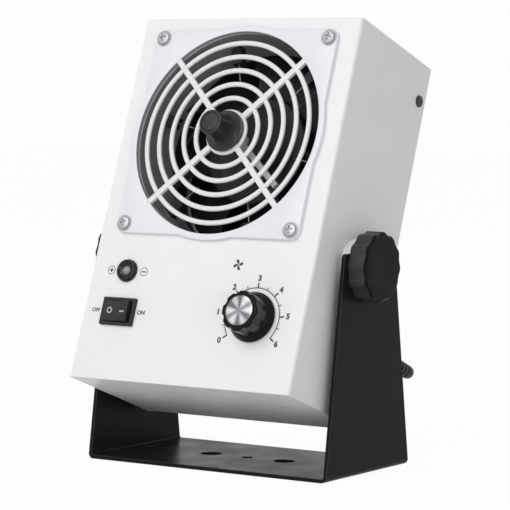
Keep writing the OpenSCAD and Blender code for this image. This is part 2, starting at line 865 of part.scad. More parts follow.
// A tapered moulding that guards the power lead where it leaves the rear panel
module cord_relief() {
    collar_d = relief_d + 1.6;
    tip_r = relief_tip_d / 2;
    color("#141516") at_rear(relief_x, relief_rise) {
        bar(relief_d, -sheet_t - 5, 0);
        bar(collar_d, 0, 2);
        translate([0, 0, 2]) cylinder(d1 = relief_d, d2 = relief_tip_d, h = relief_l - 2 - tip_r);
        translate([0, 0, relief_l - tip_r]) sphere(r = tip_r);
    }
}

module relief_nut() {
    color("#1c1d1f") at_rear(relief_x, relief_rise)
        tube(relief_d + 3, relief_d + 2 * run, -sheet_t - 4, -sheet_t);
}

// The four corners of the circuit board, on the housing's floor
module board_places() {
    for (sx = [-1, 1], y = [board_front + pillar_inset, board_back - pillar_inset])
        in_housing() translate([sx * (board_w / 2 - pillar_inset), y, 0]) children();
}

module board_pillars() {
    color("#c7a550") board_places() tube(pillar_d, board_screw_d + 2 * run, sheet_t, board_z);
}

module board_screws() {
    color("#c9cbce") board_places() {
        bar(board_screw_d, 0.2, board_z + board_t);
        bar(5.4, board_z + board_t, board_z + board_t + 1.6);
    }
}

module circuit_board() {
    color("#20603a") difference() {
        in_housing() translate([-board_w / 2, board_front, board_z]) cube([board_w, board_d, board_t]);
        board_places() bar(board_screw_d + 2 * run, board_z - 1, board_z + board_t + 1);
    }
}

// A block that stands on the circuit board
module on_board(x, y, size) {
    in_housing() translate([x, board_front + y, board_z + board_t]) cube(size);
}

module high_voltage_module() {
    color("#26282a") on_board(hv_x, block_d, [hv_w, board_d - 2 * block_d, hv_h]);
}

module power_module() {
    color("#d9a63a") on_board(power_x, module_y, [power_w, power_d, power_h]);
}

module capacitors() {
    first_x = power_x + power_w + capacitor_d / 2 + 3;
    color("#2d4d8a") in_housing() for (i = [0, 1])
        translate([first_x + i * (capacitor_d + 1), board_front + capacitor_y, board_z + board_t])
            cylinder(d = capacitor_d, h = capacitor_h);
}

module terminal_block() {
    color("#2f7d46") on_board(power_x, board_d - block_d - 2, [power_w, block_d, block_h]);
}

stand();
clamp_knob(-1);  // left_clamp_knob
clamp_stud(-1);  // left_clamp_stud
clamp_knob(1);  // right_clamp_knob
clamp_stud(1);  // right_clamp_stud
tilt_spacers();
axis_nuts();
front_shell();
rear_shell();
side_screws();
front_grille();
grille_bolts();
grille_washers();
fan_nuts();
brush_knob();
brush_shaft();
brush_arm();
brush_bristles();
emitter_frame();
emitter_pins();
fan_frame();
fan_impeller();
fan_shaft();
fan_stator();
fan_bearings();
rear_guard();
guard_screws();
guard_nuts();
lamp_bezel();
lamp();
switch_body();
switch_rocker();
switch_terminals();
speed_control();
speed_control_nut();
speed_shaft();
speed_knob();
speed_knob_cap();
cord_relief();
relief_nut();
circuit_board();
board_pillars();
board_screws();
high_voltage_module();
power_module();
capacitors();
terminal_block();
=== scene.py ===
# %% [markdown]
# # An ionizing blower
# A bench-top blower sends charged air over a workbench. A white steel box holds the fan. It tilts in a
# black stand that is bent from one strip. This lesson dresses its bare solids, one kind of piece at a time.
# The solids already have the right sizes, so each step only adds rounded edges, small parts and finishes.

# %% Load the solids
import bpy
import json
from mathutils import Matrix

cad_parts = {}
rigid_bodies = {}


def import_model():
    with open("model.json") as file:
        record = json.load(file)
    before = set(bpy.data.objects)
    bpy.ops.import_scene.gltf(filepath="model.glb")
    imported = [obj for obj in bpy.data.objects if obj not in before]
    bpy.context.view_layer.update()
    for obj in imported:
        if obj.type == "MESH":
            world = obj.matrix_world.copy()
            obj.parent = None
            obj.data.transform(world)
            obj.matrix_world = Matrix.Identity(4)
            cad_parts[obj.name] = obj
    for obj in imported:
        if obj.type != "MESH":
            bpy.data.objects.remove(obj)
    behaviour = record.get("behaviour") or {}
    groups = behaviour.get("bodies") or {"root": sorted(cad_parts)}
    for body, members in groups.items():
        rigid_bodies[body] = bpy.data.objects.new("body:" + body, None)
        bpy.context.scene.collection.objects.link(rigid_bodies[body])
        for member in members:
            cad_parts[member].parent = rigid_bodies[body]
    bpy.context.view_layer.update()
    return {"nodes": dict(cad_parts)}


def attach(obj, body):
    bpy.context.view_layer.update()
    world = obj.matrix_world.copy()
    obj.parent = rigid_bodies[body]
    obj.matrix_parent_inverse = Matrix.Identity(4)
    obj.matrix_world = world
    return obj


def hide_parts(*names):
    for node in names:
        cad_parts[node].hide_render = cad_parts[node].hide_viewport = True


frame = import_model()
import json, math
import bpy, bmesh
from mathutils import Matrix, Vector
scene = bpy.context.scene
MM = 0.001

# %% [markdown]
# ## Places on the leaning box
# The box leans back by 20 degrees, and nearly everything sits square on one of its faces. So each face gets
# a frame of its own: x to the right, y up the face and z out of it. A piece is drawn flat, then laid there.

# %% Frames of the faces
LEAN = math.radians(20)
RIGHT = Vector((1, 0, 0))
OUT = Vector((0, -math.cos(LEAN), math.sin(LEAN)))
UP = Vector((0, math.sin(LEAN), math.cos(LEAN)))
BOX_W, BOX_H, BOX_D = 138, 202, 77
STAND_W = 151.2
AXLE_IN, AXLE_RISE = 38.5, 79  # how far the axle lies behind the front panel, and above its foot
AXLE = Vector((0, -4.5, 108.5)) * MM
FOOT = AXLE + OUT * AXLE_IN * MM - UP * AXLE_RISE * MM
FAN_RISE, BOLT_PITCH = 137.5, 105

def laid(x_way, y_way, z_way, place):
    matrix = Matrix((x_way, y_way, z_way)).transposed().to_4x4()
    matrix.translation = place
    return matrix

def on_front(x, rise):
    return laid(RIGHT, UP, OUT, FOOT + (RIGHT * x + UP * rise) * MM)

def on_rear(x, rise):
    return laid(RIGHT, -UP, -OUT, FOOT + (RIGHT * x + UP * rise - OUT * BOX_D) * MM)

def on_axle(side):
    return laid(UP * -side, -OUT, RIGHT * side, AXLE)

PANEL, GRILLE, REAR = on_front(0, 0), on_front(0, FAN_RISE), on_rear(0, FAN_RISE)
DIAL, LAMP, SWITCH = on_front(38.9, 38.6), on_front(-45.4, 59.4), on_front(-45.4, 36.8)
print("foot of the front panel:", [round(c / MM, 1) for c in FOOT])

# %% [markdown]
# ## Camera, floor and light
# A long lens from the right and slightly above keeps the verticals straight. Floor and sky are pale and plain.
# One large soft lamp stands at the front left, so the front is bright and the right side lies in soft shade. A narrow
# lamp marks the left edge, and a low one lifts the shade under the box.

# %% Camera
def look(azimuth, elevation, roll, aim, distance, lens):
    a, e, r = (math.radians(v) for v in (azimuth, elevation, roll))
    back = Vector((math.sin(a) * math.cos(e), -math.cos(a) * math.cos(e), math.sin(e)))
    side = (-back).cross(Vector((0, 0, 1))).normalized()
    top = side.cross(-back)
    camera = bpy.data.objects.new("camera", bpy.data.cameras.new("camera"))
    camera.data.lens, camera.data.sensor_width = lens, 36
    camera.data.clip_start, camera.data.clip_end = 0.05, 30
    camera.matrix_world = laid(side * math.cos(r) + top * math.sin(r), top * math.cos(r) - side * math.sin(r),
                               back, Vector(aim) * MM + back * distance * MM)
    scene.collection.objects.link(camera)
    scene.camera = camera
    return camera

camera = look(azimuth=33.39, elevation=3.88, roll=0.385, aim=(2.67, 1.98, 111.15), distance=1332.3, lens=175.6)
print("camera at", [round(c, 3) for c in camera.location])

# %% Sky and floor
scene.view_settings.view_transform = "Standard"
WHITE = (1, 1, 1, 1)

def shader(tree, kind, **values):
    node = tree.nodes.new(kind)
    for socket, value in values.items():
        node.inputs[socket].default_value = value
    return node

def seen_directly(tree):
    """1 for rays from the camera, in a mirror or through glass, 0 for rays that only carry light."""
    path = tree.nodes.new("ShaderNodeLightPath")
    total = path.outputs["Is Camera Ray"]
    for name in ("Is Glossy Ray", "Is Transmission Ray"):
        add = tree.nodes.new("ShaderNodeMath")
        add.operation = "MAXIMUM"
        tree.links.new(total, add.inputs[0])
        tree.links.new(path.outputs[name], add.inputs[1])
        total = add.outputs[0]
    return total

def blended(tree, share, low, high, end):
    """Two shaders mixed by a share, led to the end node."""
    mix = tree.nodes.new("ShaderNodeMixShader")
    for socket, value in zip(mix.inputs, (share, low.outputs[0], high.outputs[0])):
        tree.links.new(value, socket)
    tree.links.new(mix.outputs[0], tree.nodes.new(end).inputs[0])

world = bpy.data.worlds.new("sky")
scene.world = world
world.use_nodes = True
sky = world.node_tree
sky.nodes.clear()
soft = shader(sky, "ShaderNodeBackground", Color=(0.97, 0.98, 1, 1), Strength=0.44)
bright = shader(sky, "ShaderNodeBackground", Color=WHITE, Strength=0.985)
blended(sky, seen_directly(sky), soft, bright, "ShaderNodeOutputWorld")

REACH, DROP = 6, -0.0002  # metres
floor_mesh = bpy.data.meshes.new("floor")
corners = [(x * REACH, y * REACH, DROP) for x, y in ((-1, -1), (1, -1), (1, 1), (-1, 1))]
floor_mesh.from_pydata(corners, [], [(0, 1, 2, 3)])
floor = bpy.data.objects.new("floor", floor_mesh)
scene.collection.objects.link(floor)
paper = bpy.data.materials.new("floor_paper")
paper.use_nodes = True
tree = paper.node_tree
tree.nodes.clear()
matt = shader(tree, "ShaderNodeBsdfDiffuse", Color=(0.84, 0.84, 0.84, 1))
glow = shader(tree, "ShaderNodeEmission", Color=WHITE)
share = tree.nodes.new("ShaderNodeMath")
share.operation, share.inputs[1].default_value = "MULTIPLY", 0.965
tree.links.new(seen_directly(tree), share.inputs[0])
blended(tree, share.outputs[0], matt, glow, "ShaderNodeOutputMaterial")
floor_mesh.materials.append(paper)

# %% Lamps
def lamp(name, place, size, power):
    data = bpy.data.lights.new(name, "AREA")
    data.shape, data.size, data.size_y, data.energy = "RECTANGLE", size[0], size[1], power
    light = bpy.data.objects.new(name, data)
    light.location = place
    light.rotation_euler = (Vector((0, 0, 0.11)) - Vector(place)).to_track_quat("-Z", "Y").to_euler()
    scene.collection.objects.link(light)

lamp("key", place=(-0.25, -1.5, 1.25), size=(1.3, 1.3), power=17)
lamp("edge", place=(-1.6, 0.2, 0.7), size=(0.4, 1.0), power=4)
lamp("fill", place=(1.2, -1.15, 0.06), size=(1.6, 0.5), power=9)
print("lamps set")

# %% [markdown]
# ## Finishes
# A real surface is never one flat colour. Powder coat has a fine orange peel, mouldings have a spark-eroded grain,
# and every edge that is handled gets lighter and smoother. One helper builds all of this from plain numbers:
# a fine noise bends the normal, a coarse noise changes the gloss, and a bevel test finds the edges. The lighter
# edge colour is partly this wear and partly a painted highlight, where an edge would catch the light.

# %% One helper for every finish
FINISH = {}

def tone_mix(tree, share, low, high):
    """One colour turns into another by a share. A colour is four numbers or the output of a node."""
    mix = tree.nodes.new("ShaderNodeMix")
    mix.data_type = "RGBA"
    for socket, value in ((0, share), (6, low), (7, high)):
        if isinstance(value, bpy.types.NodeSocket):
            tree.links.new(value, mix.inputs[socket])
        else:
            mix.inputs[socket].default_value = value
    return mix.outputs[2]

def finish(name, colour, rough, metal=0.0, grain=0.02, grain_mm=0.35, patch=0.06, edge=0.0, edge_mm=0.35,
           tint=0.03, specular=0.5, bends=1.5, passes=0.0):
    FINISH[name] = material = bpy.data.materials.new(name)
    material.use_nodes = True
    tree = material.node_tree
    nodes, links = tree.nodes, tree.links
    skin = nodes["Principled BSDF"]
    spot = nodes.new("ShaderNodeTexCoord")
    def noise(size_mm, detail):
        node = nodes.new("ShaderNodeTexNoise")
        node.inputs["Scale"].default_value = 1 / (size_mm * MM)
        node.inputs["Detail"].default_value = detail
        links.new(spot.outputs["Object"], node.inputs["Vector"])
        return node.outputs["Fac"]
    def spread(value, low, high, start=0.3, stop=0.7):
        node = nodes.new("ShaderNodeMapRange")
        for key, number in zip(("From Min", "From Max", "To Min", "To Max"), (start, stop, low, high)):
            node.inputs[key].default_value = number
        links.new(value, node.inputs["Value"])
        return node.outputs[0]
    def toned(factor=1.0, more=0.0):
        return (*[min(c * factor + more, 1) for c in colour], 1)
    links.new(spread(noise(22, 3), max(rough - patch, 0.02), min(rough + patch, 1)), skin.inputs["Roughness"])
    round_off = nodes.new("ShaderNodeBevel")
    round_off.samples = 4
    round_off.inputs["Radius"].default_value = edge_mm * MM
    ripple = nodes.new("ShaderNodeBump")
    ripple.inputs["Strength"].default_value = 1
    ripple.inputs["Distance"].default_value = grain * MM
    links.new(noise(grain_mm, 2), ripple.inputs["Height"])
    links.new(round_off.outputs[0], ripple.inputs["Normal"])
    links.new(ripple.outputs[0], skin.inputs["Normal"])
    tone = tone_mix(tree, spread(noise(9, 4), 0, 1), toned(1 - tint), toned(1 + tint))
    # Edges painted lighter: partly wear, partly a painted highlight.
    if edge:
        flat = nodes.new("ShaderNodeNewGeometry")
        turn = nodes.new("ShaderNodeVectorMath")
        turn.operation = "DOT_PRODUCT"
        links.new(round_off.outputs[0], turn.inputs[0])
        links.new(flat.outputs["Normal"], turn.inputs[1])
        tone = tone_mix(tree, spread(turn.outputs["Value"], 1, 0, 0.80, 0.995), tone, toned(more=edge))
    links.new(tone, skin.inputs["Base Color"])
    for socket, value in (("Metallic", metal), ("Specular IOR Level", specular), ("IOR", bends),
                          ("Transmission Weight", passes)):
        skin.inputs[socket].default_value = value
    return material

finish("white_powder", (0.80, 0.80, 0.80), 0.42, grain=0.012, grain_mm=0.5, tint=0.006)
# The stand's edges are painted lighter: partly worn powder, partly a painted highlight along its edges and bends.
finish("black_powder", (0.012, 0.0125, 0.0135), 0.32, grain_mm=0.4, edge=0.12, specular=0.04)
# The edges of the grille and its rings are painted near white: a painted highlight where they catch the light.
finish("grille_paint", (0.75, 0.745, 0.785), 0.36, grain=0.006, edge=0.2, tint=0.01)
finish("ring_paint", (0.735, 0.737, 0.735), 0.36, grain=0.006, edge=0.2, tint=0.01)
finish("black_moulding", (0.011, 0.011, 0.012), 0.38, grain_mm=0.3, edge=0.02, specular=0.14)
finish("black_gloss", (0.005, 0.005, 0.006), 0.24, grain=0.008, grain_mm=1.2, edge=0.02, specular=0.35)
finish("clamp_black", (0.008, 0.0082, 0.0088), 0.40, grain_mm=0.3, edge=0.02, edge_mm=0.1, bends=1.13)
# Lighter clamp rims: painted light on the fluted sides that face the lamps.
finish("clamp_rim_painted_light", (0.040, 0.0405, 0.041), 0.34, grain_mm=0.3, edge=0.08, edge_mm=0.15, bends=1.2)
# Lighter grip of the speed knob: painted light on the flutes, darker skirt below.
finish("dial_grip", (0.024, 0.024, 0.025), 0.28, grain=0.008, grain_mm=0.25, edge=0.05, edge_mm=0.15, bends=1.4)
finish("brush_black", (0.009, 0.009, 0.0095), 0.34, grain=0.006, grain_mm=0.3, edge=0.02, bends=1.42)
finish("switch_black", (0.020, 0.021, 0.023), 0.45, grain=0.015, grain_mm=0.3, edge=0.03, specular=0.2)
finish("fan_plastic", (0.013, 0.0135, 0.0145), 0.32, grain=0.01, grain_mm=0.8, edge=0.03, specular=0.2)
finish("knob_plastic", (0.004, 0.004, 0.0045), 0.24, grain=0.008, grain_mm=0.25, edge=0.02, edge_mm=0.15, bends=1.2)
finish("grey_moulding", (0.66, 0.67, 0.68), 0.45, edge=0.05)
finish("white_nylon", (0.92, 0.92, 0.92), 0.45, grain=0.01)
finish("nylon_bristle", (0.70, 0.68, 0.61), 0.5, grain=0.004)
finish("plated_steel", (0.36, 0.37, 0.385), 0.5, metal=1, grain=0.006, edge=0.1, patch=0.08)
finish("black_screw", (0.016, 0.016, 0.018), 0.34, grain=0.01, edge=0.06)
finish("pin_metal", (0.16, 0.165, 0.17), 0.35, metal=1, grain=0.003)
finish("copper_winding", (0.42, 0.18, 0.06), 0.35, metal=0.8, grain=0.05, grain_mm=0.5)
finish("guard_wire", (0.55, 0.56, 0.57), 0.22, metal=1, grain=0.004, patch=0.08)
finish("lamp_lens", (0.33, 0.345, 0.36), 0.2, grain=0.004, tint=0.05, passes=0.3)
finish("brass", (0.60, 0.43, 0.20), 0.3, metal=1, grain=0.006, patch=0.1)
finish("soft_black", (0.012, 0.012, 0.013), 0.55, edge=0.02, specular=0.3)
finish("board_green", (0.02, 0.12, 0.05), 0.3, grain=0.03, grain_mm=1.5, tint=0.2)
finish("potting_black", (0.02, 0.02, 0.022), 0.5, grain=0.03)
finish("module_yellow", (0.62, 0.38, 0.06), 0.4, grain=0.03, grain_mm=1, tint=0.1)
finish("capacitor_blue", (0.03, 0.07, 0.25), 0.25, grain=0.01)
finish("terminal_green", (0.04, 0.25, 0.10), 0.4, grain=0.01, edge=0.05)
finish("printed_black", (0.02, 0.02, 0.022), 0.5, grain=0.004, edge_mm=0.02, tint=0.15)
finish("printed_grey", (0.44, 0.44, 0.44), 0.5, grain=0.004, edge_mm=0.02, tint=0.05)
print(len(FINISH), "finishes")

# %% [markdown]
# ## Spun aluminium
# The cap in the speed knob is turned on a lathe, so its face carries very fine rings. Light breaks on them into
# soft rays, like on a disc; here the rays are a painted reflection in the cap's colour. The rings come from the
# distance to the cap's middle, the painted rays from the angle round it. Close to the middle the painted rays fade out.

# %% Cap finish
def measured(tree, place):
    """A surface point in the frame of a place: x, y, z, the distance to the z axis, and a calculating helper."""
    spot, turn = tree.nodes.new("ShaderNodeTexCoord"), tree.nodes.new("ShaderNodeMapping")
    turn.vector_type = "TEXTURE"
    turn.inputs["Location"].default_value = place.translation
    turn.inputs["Rotation"].default_value = place.to_euler()
    tree.links.new(spot.outputs["Object"], turn.inputs["Vector"])
    parts = tree.nodes.new("ShaderNodeSeparateXYZ")
    tree.links.new(turn.outputs[0], parts.inputs[0])
    def calc(operation, a, b=0.0):
        node = tree.nodes.new("ShaderNodeMath")
        node.operation = operation
        for socket, value in zip(node.inputs, (a, b)):
            if isinstance(value, (int, float)):
                socket.default_value = value
            else:
                tree.links.new(value, socket)
        return node.outputs[0]
    x, y, z = parts.outputs
    return x, y, z, calc("SQRT", calc("ADD", calc("MULTIPLY", x, x), calc("MULTIPLY", y, y))), calc

def spun(name, place, pitch=0.25, clear_r=4.5):
    tree = finish(name, (0.5, 0.5, 0.51), 0.36, metal=1, grain=0.002, patch=0.03).node_tree
    skin = tree.nodes["Principled BSDF"]
    x, y, _, across, calc = measured(tree, place)
    # Painted reflection in the base colour: six light and dark rays by angle, a little uneven, faded near the middle.
    angle = calc("ARCTAN2", y, x)
    rays = calc("MULTIPLY", calc("SINE", calc("ADD", calc("MULTIPLY", angle, 6), 1.2)), 0.5)
    painted_ray_unevenness = calc("MULTIPLY", calc("SINE", calc("MULTIPLY", angle, 2)), 0.18)
    clear = calc("MINIMUM", calc("MULTIPLY", across, 1 / (clear_r * MM)), 1.0)
    light = calc("ADD", calc("MULTIPLY", calc("ADD", calc("ADD", rays, painted_ray_unevenness), 0.36), clear), 0.14)
    tree.links.new(tone_mix(tree, light, (0.11, 0.11, 0.12, 1), (0.46, 0.46, 0.47, 1)), skin.inputs["Base Color"])
    rings = tree.nodes.new("ShaderNodeBump")
    rings.inputs["Distance"].default_value = 0.004 * MM
    tree.links.new(calc("SINE", calc("MULTIPLY", across, 2 * math.pi / (pitch * MM))), rings.inputs["Height"])
    tree.links.new(rings.outputs[0], skin.inputs["Normal"])

spun("spun_aluminium", DIAL)

# %% [markdown]
# ## The lining of the air duct
# The needle holders are black, but the round wall behind them is a satin grey, which catches the light from the
# open front. Both belong to one solid. So the finish asks how far a point is from the duct's axis and how deep it lies.
# Deeper in, where the light from the front no longer reaches, the wall is painted black: a painted shade.

# %% Duct finish
def lined(name, place, wall_r=56.2, painted_shade_depth=34.0):
    tree = finish(name, (0.02, 0.02, 0.022), 0.4, grain=0.008, grain_mm=1.2, specular=0.3).node_tree
    black = tree.nodes["Principled BSDF"].inputs["Base Color"]
    _, _, z, across, calc = measured(tree, place)
    on_wall = calc("GREATER_THAN", across, wall_r * MM)
    # Past the given depth the wall stays black: painted shade where the light from the front falls off.
    before_painted_shade = calc("GREATER_THAN", z, -painted_shade_depth * MM)
    grey = (0.32, 0.32, 0.33, 1)
    tree.links.new(tone_mix(tree, calc("MULTIPLY", on_wall, before_painted_shade), black.links[0].from_socket, grey), black)

lined("duct_lining_with_painted_shade", GRILLE)

# %% Every solid takes its finish by the name of its slot
for name, solid in frame["nodes"].items():
    for slot in solid.material_slots:
        slot.material = FINISH[slot.material.name.split(".")[0]]
SLOT_OF = dict.fromkeys(("clamp_black", "brush_black", "switch_black"), "black_moulding")
# Both frames take the duct lining, black deep inside as painted shade.
for name in ("emitter_frame", "fan_frame"):
    frame["nodes"][name].material_slots[0].material = FINISH["duct_lining_with_painted_shade"]
print("finished", len(frame["nodes"]), "solids")

# %% [markdown]
# ## Two ways to make a round piece
# A turned piece is a profile swung round an axis, so a short list of corners is enough. Each sharp corner is softened
# by a small curve, which catches the light. Flutes are made by letting the radius depend on the angle.

# %% Helpers for turned pieces
def softened(corners, steps=4):
    """Corners are (radius, height, softening). Each one becomes a short curve."""
    line = []
    for k, (r, z, soft) in enumerate(corners):
        here = Vector((r, z))
        if not soft or k in (0, len(corners) - 1):
            line.append((r, z))
            continue
        ends = [here + (Vector(corners[j][:2]) - here).normalized() * soft for j in (k - 1, k + 1)]
        for i in range(steps + 1):
            t = i / steps
            point = ends[0] * (1 - t) ** 2 + here * 2 * t * (1 - t) + ends[1] * t ** 2
            line.append((point.x, point.y))
    return line

def piece(name, mesh, body, finish_name, *solids):
    """A finished mesh becomes an object that rides on its body and stands for the bare solids."""
    mesh.materials.clear()
    mesh.materials.append(FINISH[finish_name])
    mesh.validate()
    obj = bpy.data.objects.new(name, mesh)
    scene.collection.objects.link(obj)
    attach(obj, body)
    if solids:
        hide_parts(*solids)

def second_finish(mesh, finish_name, place, wanted):
    """Faces that pass a test take another finish. The test gets a face's middle (mm) and direction in the place."""
    mesh.materials.append(FINISH[finish_name])
    back = place.inverted()
    found = [face for face in mesh.polygons if wanted((back @ face.center) / MM, back.to_3x3() @ face.normal)]
    for face in found:
        face.material_index = len(mesh.materials) - 1
    print(finish_name, "on", len(found), "faces")

def drawn(name, points, faces, place, smooth=40):
    """A mesh from points in millimetres, laid in its place, smooth where the faces meet softly."""
    mesh = bpy.data.meshes.new(name)
    mesh.from_pydata([tuple(c * MM for c in p) for p in points], [], faces)
    mesh.transform(place)
    mesh.shade_smooth()
    mesh.set_sharp_from_angle(angle=math.radians(smooth))
    return mesh

def turned(name, profile, place, steps=96, radius=None, loop=False, smooth=40):
    """The profile runs from the bottom pole up to the top pole, or round in a loop for a ring."""
    points, rows = [], []
    for r, z in profile:
        row = []
        for i in range(1 if r == 0 else steps):
            a = 2 * math.pi * i / steps
            wide = radius(a, r, z) if radius and r else r
            row.append(len(points))
            points.append((wide * math.cos(a), wide * math.sin(a), z))
        rows.append(row)
    faces = []
    pairs = list(zip(rows, rows[1:] + rows[:1])) if loop else list(zip(rows, rows[1:]))
    for low, high in pairs:
        for i in range(steps):
            j = (i + 1) % steps
            if len(low) == 1:
                faces.append((low[0], high[j], high[i]))
            elif len(high) == 1:
                faces.append((high[0], low[i], low[j]))
            else:
                faces.append((low[i], low[j], high[j], high[i]))
    return drawn(name, points, faces, place, smooth)

def dome(wide, base, high, step):
    """Profile points up a round end, from its rim to its pole."""
    turns = [math.radians(a) for a in range(0, 90, step)]
    return [(wide * math.cos(a), base + high * math.sin(a)) for a in turns] + [(0, base + high)]

def reworked(mesh, job):
    """The mesh after a job is done on its faces and edges."""
    shell = bmesh.new()
    shell.from_mesh(mesh)
    job(shell)
    shell.to_mesh(mesh)
    shell.free()
    return mesh

def face_outwards(shell):
    bmesh.ops.recalc_face_normals(shell, faces=shell.faces)

def joined(name, meshes):
    """Several meshes in one."""
    whole = bmesh.new()
    for part in meshes:
        whole.from_mesh(part)
    mesh = bpy.data.meshes.new(name)
    whole.to_mesh(mesh)
    whole.free()
    mesh.shade_smooth()
    mesh.set_sharp_from_angle(angle=math.radians(40))
    return mesh

# %% [markdown]
# ## Recipes in Geometry Nodes
# What repeats is made by a node tree, such as the rings of a grille or the ticks of a scale. The tree is built in the
# script and has its sizes as named inputs, so one number changes all copies. The result becomes a plain mesh.

# %% Helper for node recipes
class Recipe:
    def __init__(self, name, **sizes):
        self.name, self.sizes, self.ids = name, sizes, {}
        self.tree = bpy.data.node_groups.new(name, "GeometryNodeTree")
        face = self.tree.interface
        face.new_socket("Geometry", in_out="INPUT", socket_type="NodeSocketGeometry")
        face.new_socket("Geometry", in_out="OUTPUT", socket_type="NodeSocketGeometry")
        for label, value in sizes.items():
            kind = "Object" if isinstance(value, bpy.types.Object) else "Int" if isinstance(value, int) else "Float"
            self.ids[label] = face.new_socket(label, in_out="INPUT", socket_type="NodeSocket" + kind).identifier
        self.given = self.tree.nodes.new("NodeGroupInput")

    def add(self, kind, inputs=(), **settings):
        node = self.tree.nodes.new(kind)
        for key, value in settings.items():
            setattr(node, key, value)
        for key, value in dict(inputs).items():
            if isinstance(value, bpy.types.NodeSocket):
                self.tree.links.new(value, node.inputs[key])
            else:
                node.inputs[key].default_value = value
        return node

    def size(self, label):
        return self.given.outputs[label]

    def math(self, operation, a, b=0.0):
        return self.add("ShaderNodeMath", {0: a, 1: b}, operation=operation).outputs[0]

    def vector(self, x=0.0, y=0.0, z=0.0):
        return self.add("ShaderNodeCombineXYZ", {0: x, 1: y, 2: z}).outputs[0]

    def half(self, label):
        return self.math("MULTIPLY", self.size(label), 0.5)

    def index(self):
        return self.add("GeometryNodeInputIndex").outputs[0]

    def bar(self, wide, high, soft):
        """The closed outline of a bar with softened corners, to sweep along a path."""
        box = self.add("GeometryNodeCurvePrimitiveQuadrilateral", {"Width": wide, "Height": high})
        return self.add("GeometryNodeFilletCurve", {"Curve": box.outputs[0], "Radius": soft, "Count": 4},
                        mode="POLY").outputs[0]

    def circle(self, points, radius):
        return self.add("GeometryNodeCurvePrimitiveCircle", {"Resolution": points, "Radius": radius}).outputs[0]

    def line(self, start, label):
        """A straight path along x, from a start in millimetres to a named size."""
        ends = {"Start": self.vector(start * MM), "End": self.vector(self.size(label))}
        return self.add("GeometryNodeCurvePrimitiveLine", ends).outputs[0]

    def swept(self, path, outline, caps=False):
        sockets = {"Curve": path, "Profile Curve": outline, "Fill Caps": caps}
        return self.add("GeometryNodeCurveToMesh", sockets).outputs[0]

    def moved(self, shape, x=0.0, y=0.0, z=0.0):
        return self.add("GeometryNodeTransform", {"Geometry": shape, "Translation": self.vector(x, y, z)}).outputs[0]

    def set_on(self, points, shape, **how):
        return self.add("GeometryNodeInstanceOnPoints", {"Points": points, "Instance": shape, **how}).outputs[0]

    def copies(self, count, shape, **how):
        """Copies of a shape on one spot, each with its own turn or scale."""
        line = self.add("GeometryNodeMeshLine", {"Count": self.size(count), "Offset": (0, 0, 0)})
        return self.set_on(line.outputs[0], shape, **how)

    def crossed(self, count, shape):
        """Copies a quarter turn apart. The first one lies halfway between two axes."""
        angle = self.math("ADD", self.math("MULTIPLY", self.index(), math.pi / 2), math.pi / 4)
        return self.copies(count, shape, Rotation=self.vector(0.0, 0.0, angle))

    def realized(self, shape):
        return self.add("GeometryNodeRealizeInstances", {0: shape}).outputs[0]

    def pattern(self, label):
        return self.add("GeometryNodeObjectInfo", {"Object": self.size(label)}).outputs["Geometry"]

    def make(self, geometry, finish_name, place):
        """Ends the tree, runs it once and returns a plain mesh in its place."""
        dress = {"Geometry": self.realized(geometry), "Material": FINISH[finish_name]}
        skin = self.add("GeometryNodeSetMaterial", dress)
        self.tree.links.new(skin.outputs[0], self.tree.nodes.new("NodeGroupOutput").inputs[0])
        host = bpy.data.objects.new(self.name, bpy.data.meshes.new(self.name))
        scene.collection.objects.link(host)
        modifier = host.modifiers.new(self.name, "NODES")
        modifier.node_group = self.tree
        for label, value in self.sizes.items():
            modifier[self.ids[label]] = value
        bpy.context.view_layer.update()
        mesh = bpy.data.meshes.new_from_object(host.evaluated_get(bpy.context.evaluated_depsgraph_get()))
        host.modifiers.remove(modifier)
        bpy.data.objects.remove(host)
        mesh.transform(place)
        mesh.shade_smooth()
        mesh.set_sharp_from_angle(angle=math.radians(40))
        print(self.name, len(mesh.polygons), "faces", {k: v for k, v in self.sizes.items() if not hasattr(v, "name")})
        return mesh

# %% [markdown]
# ## The grille
# The grille is moulded in one piece. Its square plate carries a round rim that stands a little past the edges. Six
# rings with rounded fronts lie slightly behind four flat spokes. The plate is a band between two outlines.

# %% Grille plate
def band(name, inner, outer, low, high, soft, place, steps=384, smooth=30):
    """A flat frame between two outlines, each a radius by angle, with softened front edges."""
    points = []
    for i in range(steps):
        a = 2 * math.pi * i / steps
        a0, a1 = inner(a), outer(a)
        bend = [math.pi / 2 * k / 3 for k in range(4)]
        section = [(a0, low)] + [(a0 + soft * (1 - math.cos(b)), high - soft * (1 - math.sin(b))) for b in bend]
        section += [(a1 - soft * (1 - math.sin(b)), high - soft * (1 - math.cos(b))) for b in bend] + [(a1, low)]
        points += [(r * math.cos(a), r * math.sin(a), z) for r, z in section]
    row = len(points) // steps
    faces = [(i * row + k, i * row + (k + 1) % row, (i + 1) % steps * row + (k + 1) % row, (i + 1) % steps * row + k)
             for i in range(steps) for k in range(row)]
    return drawn(name, points, faces, place, smooth)

def round_box(half_w, half_h, corner):
    """The radius by angle of a rectangle with round corners."""
    def reach(a):
        c, s = abs(math.cos(a)), abs(math.sin(a))
        flat = min(half_w / max(c, 1e-9), half_h / max(s, 1e-9))
        x, y = half_w - corner, half_h - corner
        if flat * c > x and flat * s > y:
            along = x * c + y * s
            return along + math.sqrt(max(along * along - x * x - y * y + corner * corner, 0))
        return flat
    return reach

OPENING_R, RIM_R, PLATE_T, RING_STEP = 56.3, 59.7, 2.5, 7.75
plate_edge = round_box(57.5, 57.5, 5)
plate = band("grille_plate", lambda a: OPENING_R, lambda a: max(plate_edge(a), RIM_R), 0, PLATE_T, 0.45, GRILLE, 720)
print("plate faces:", len(plate.polygons))

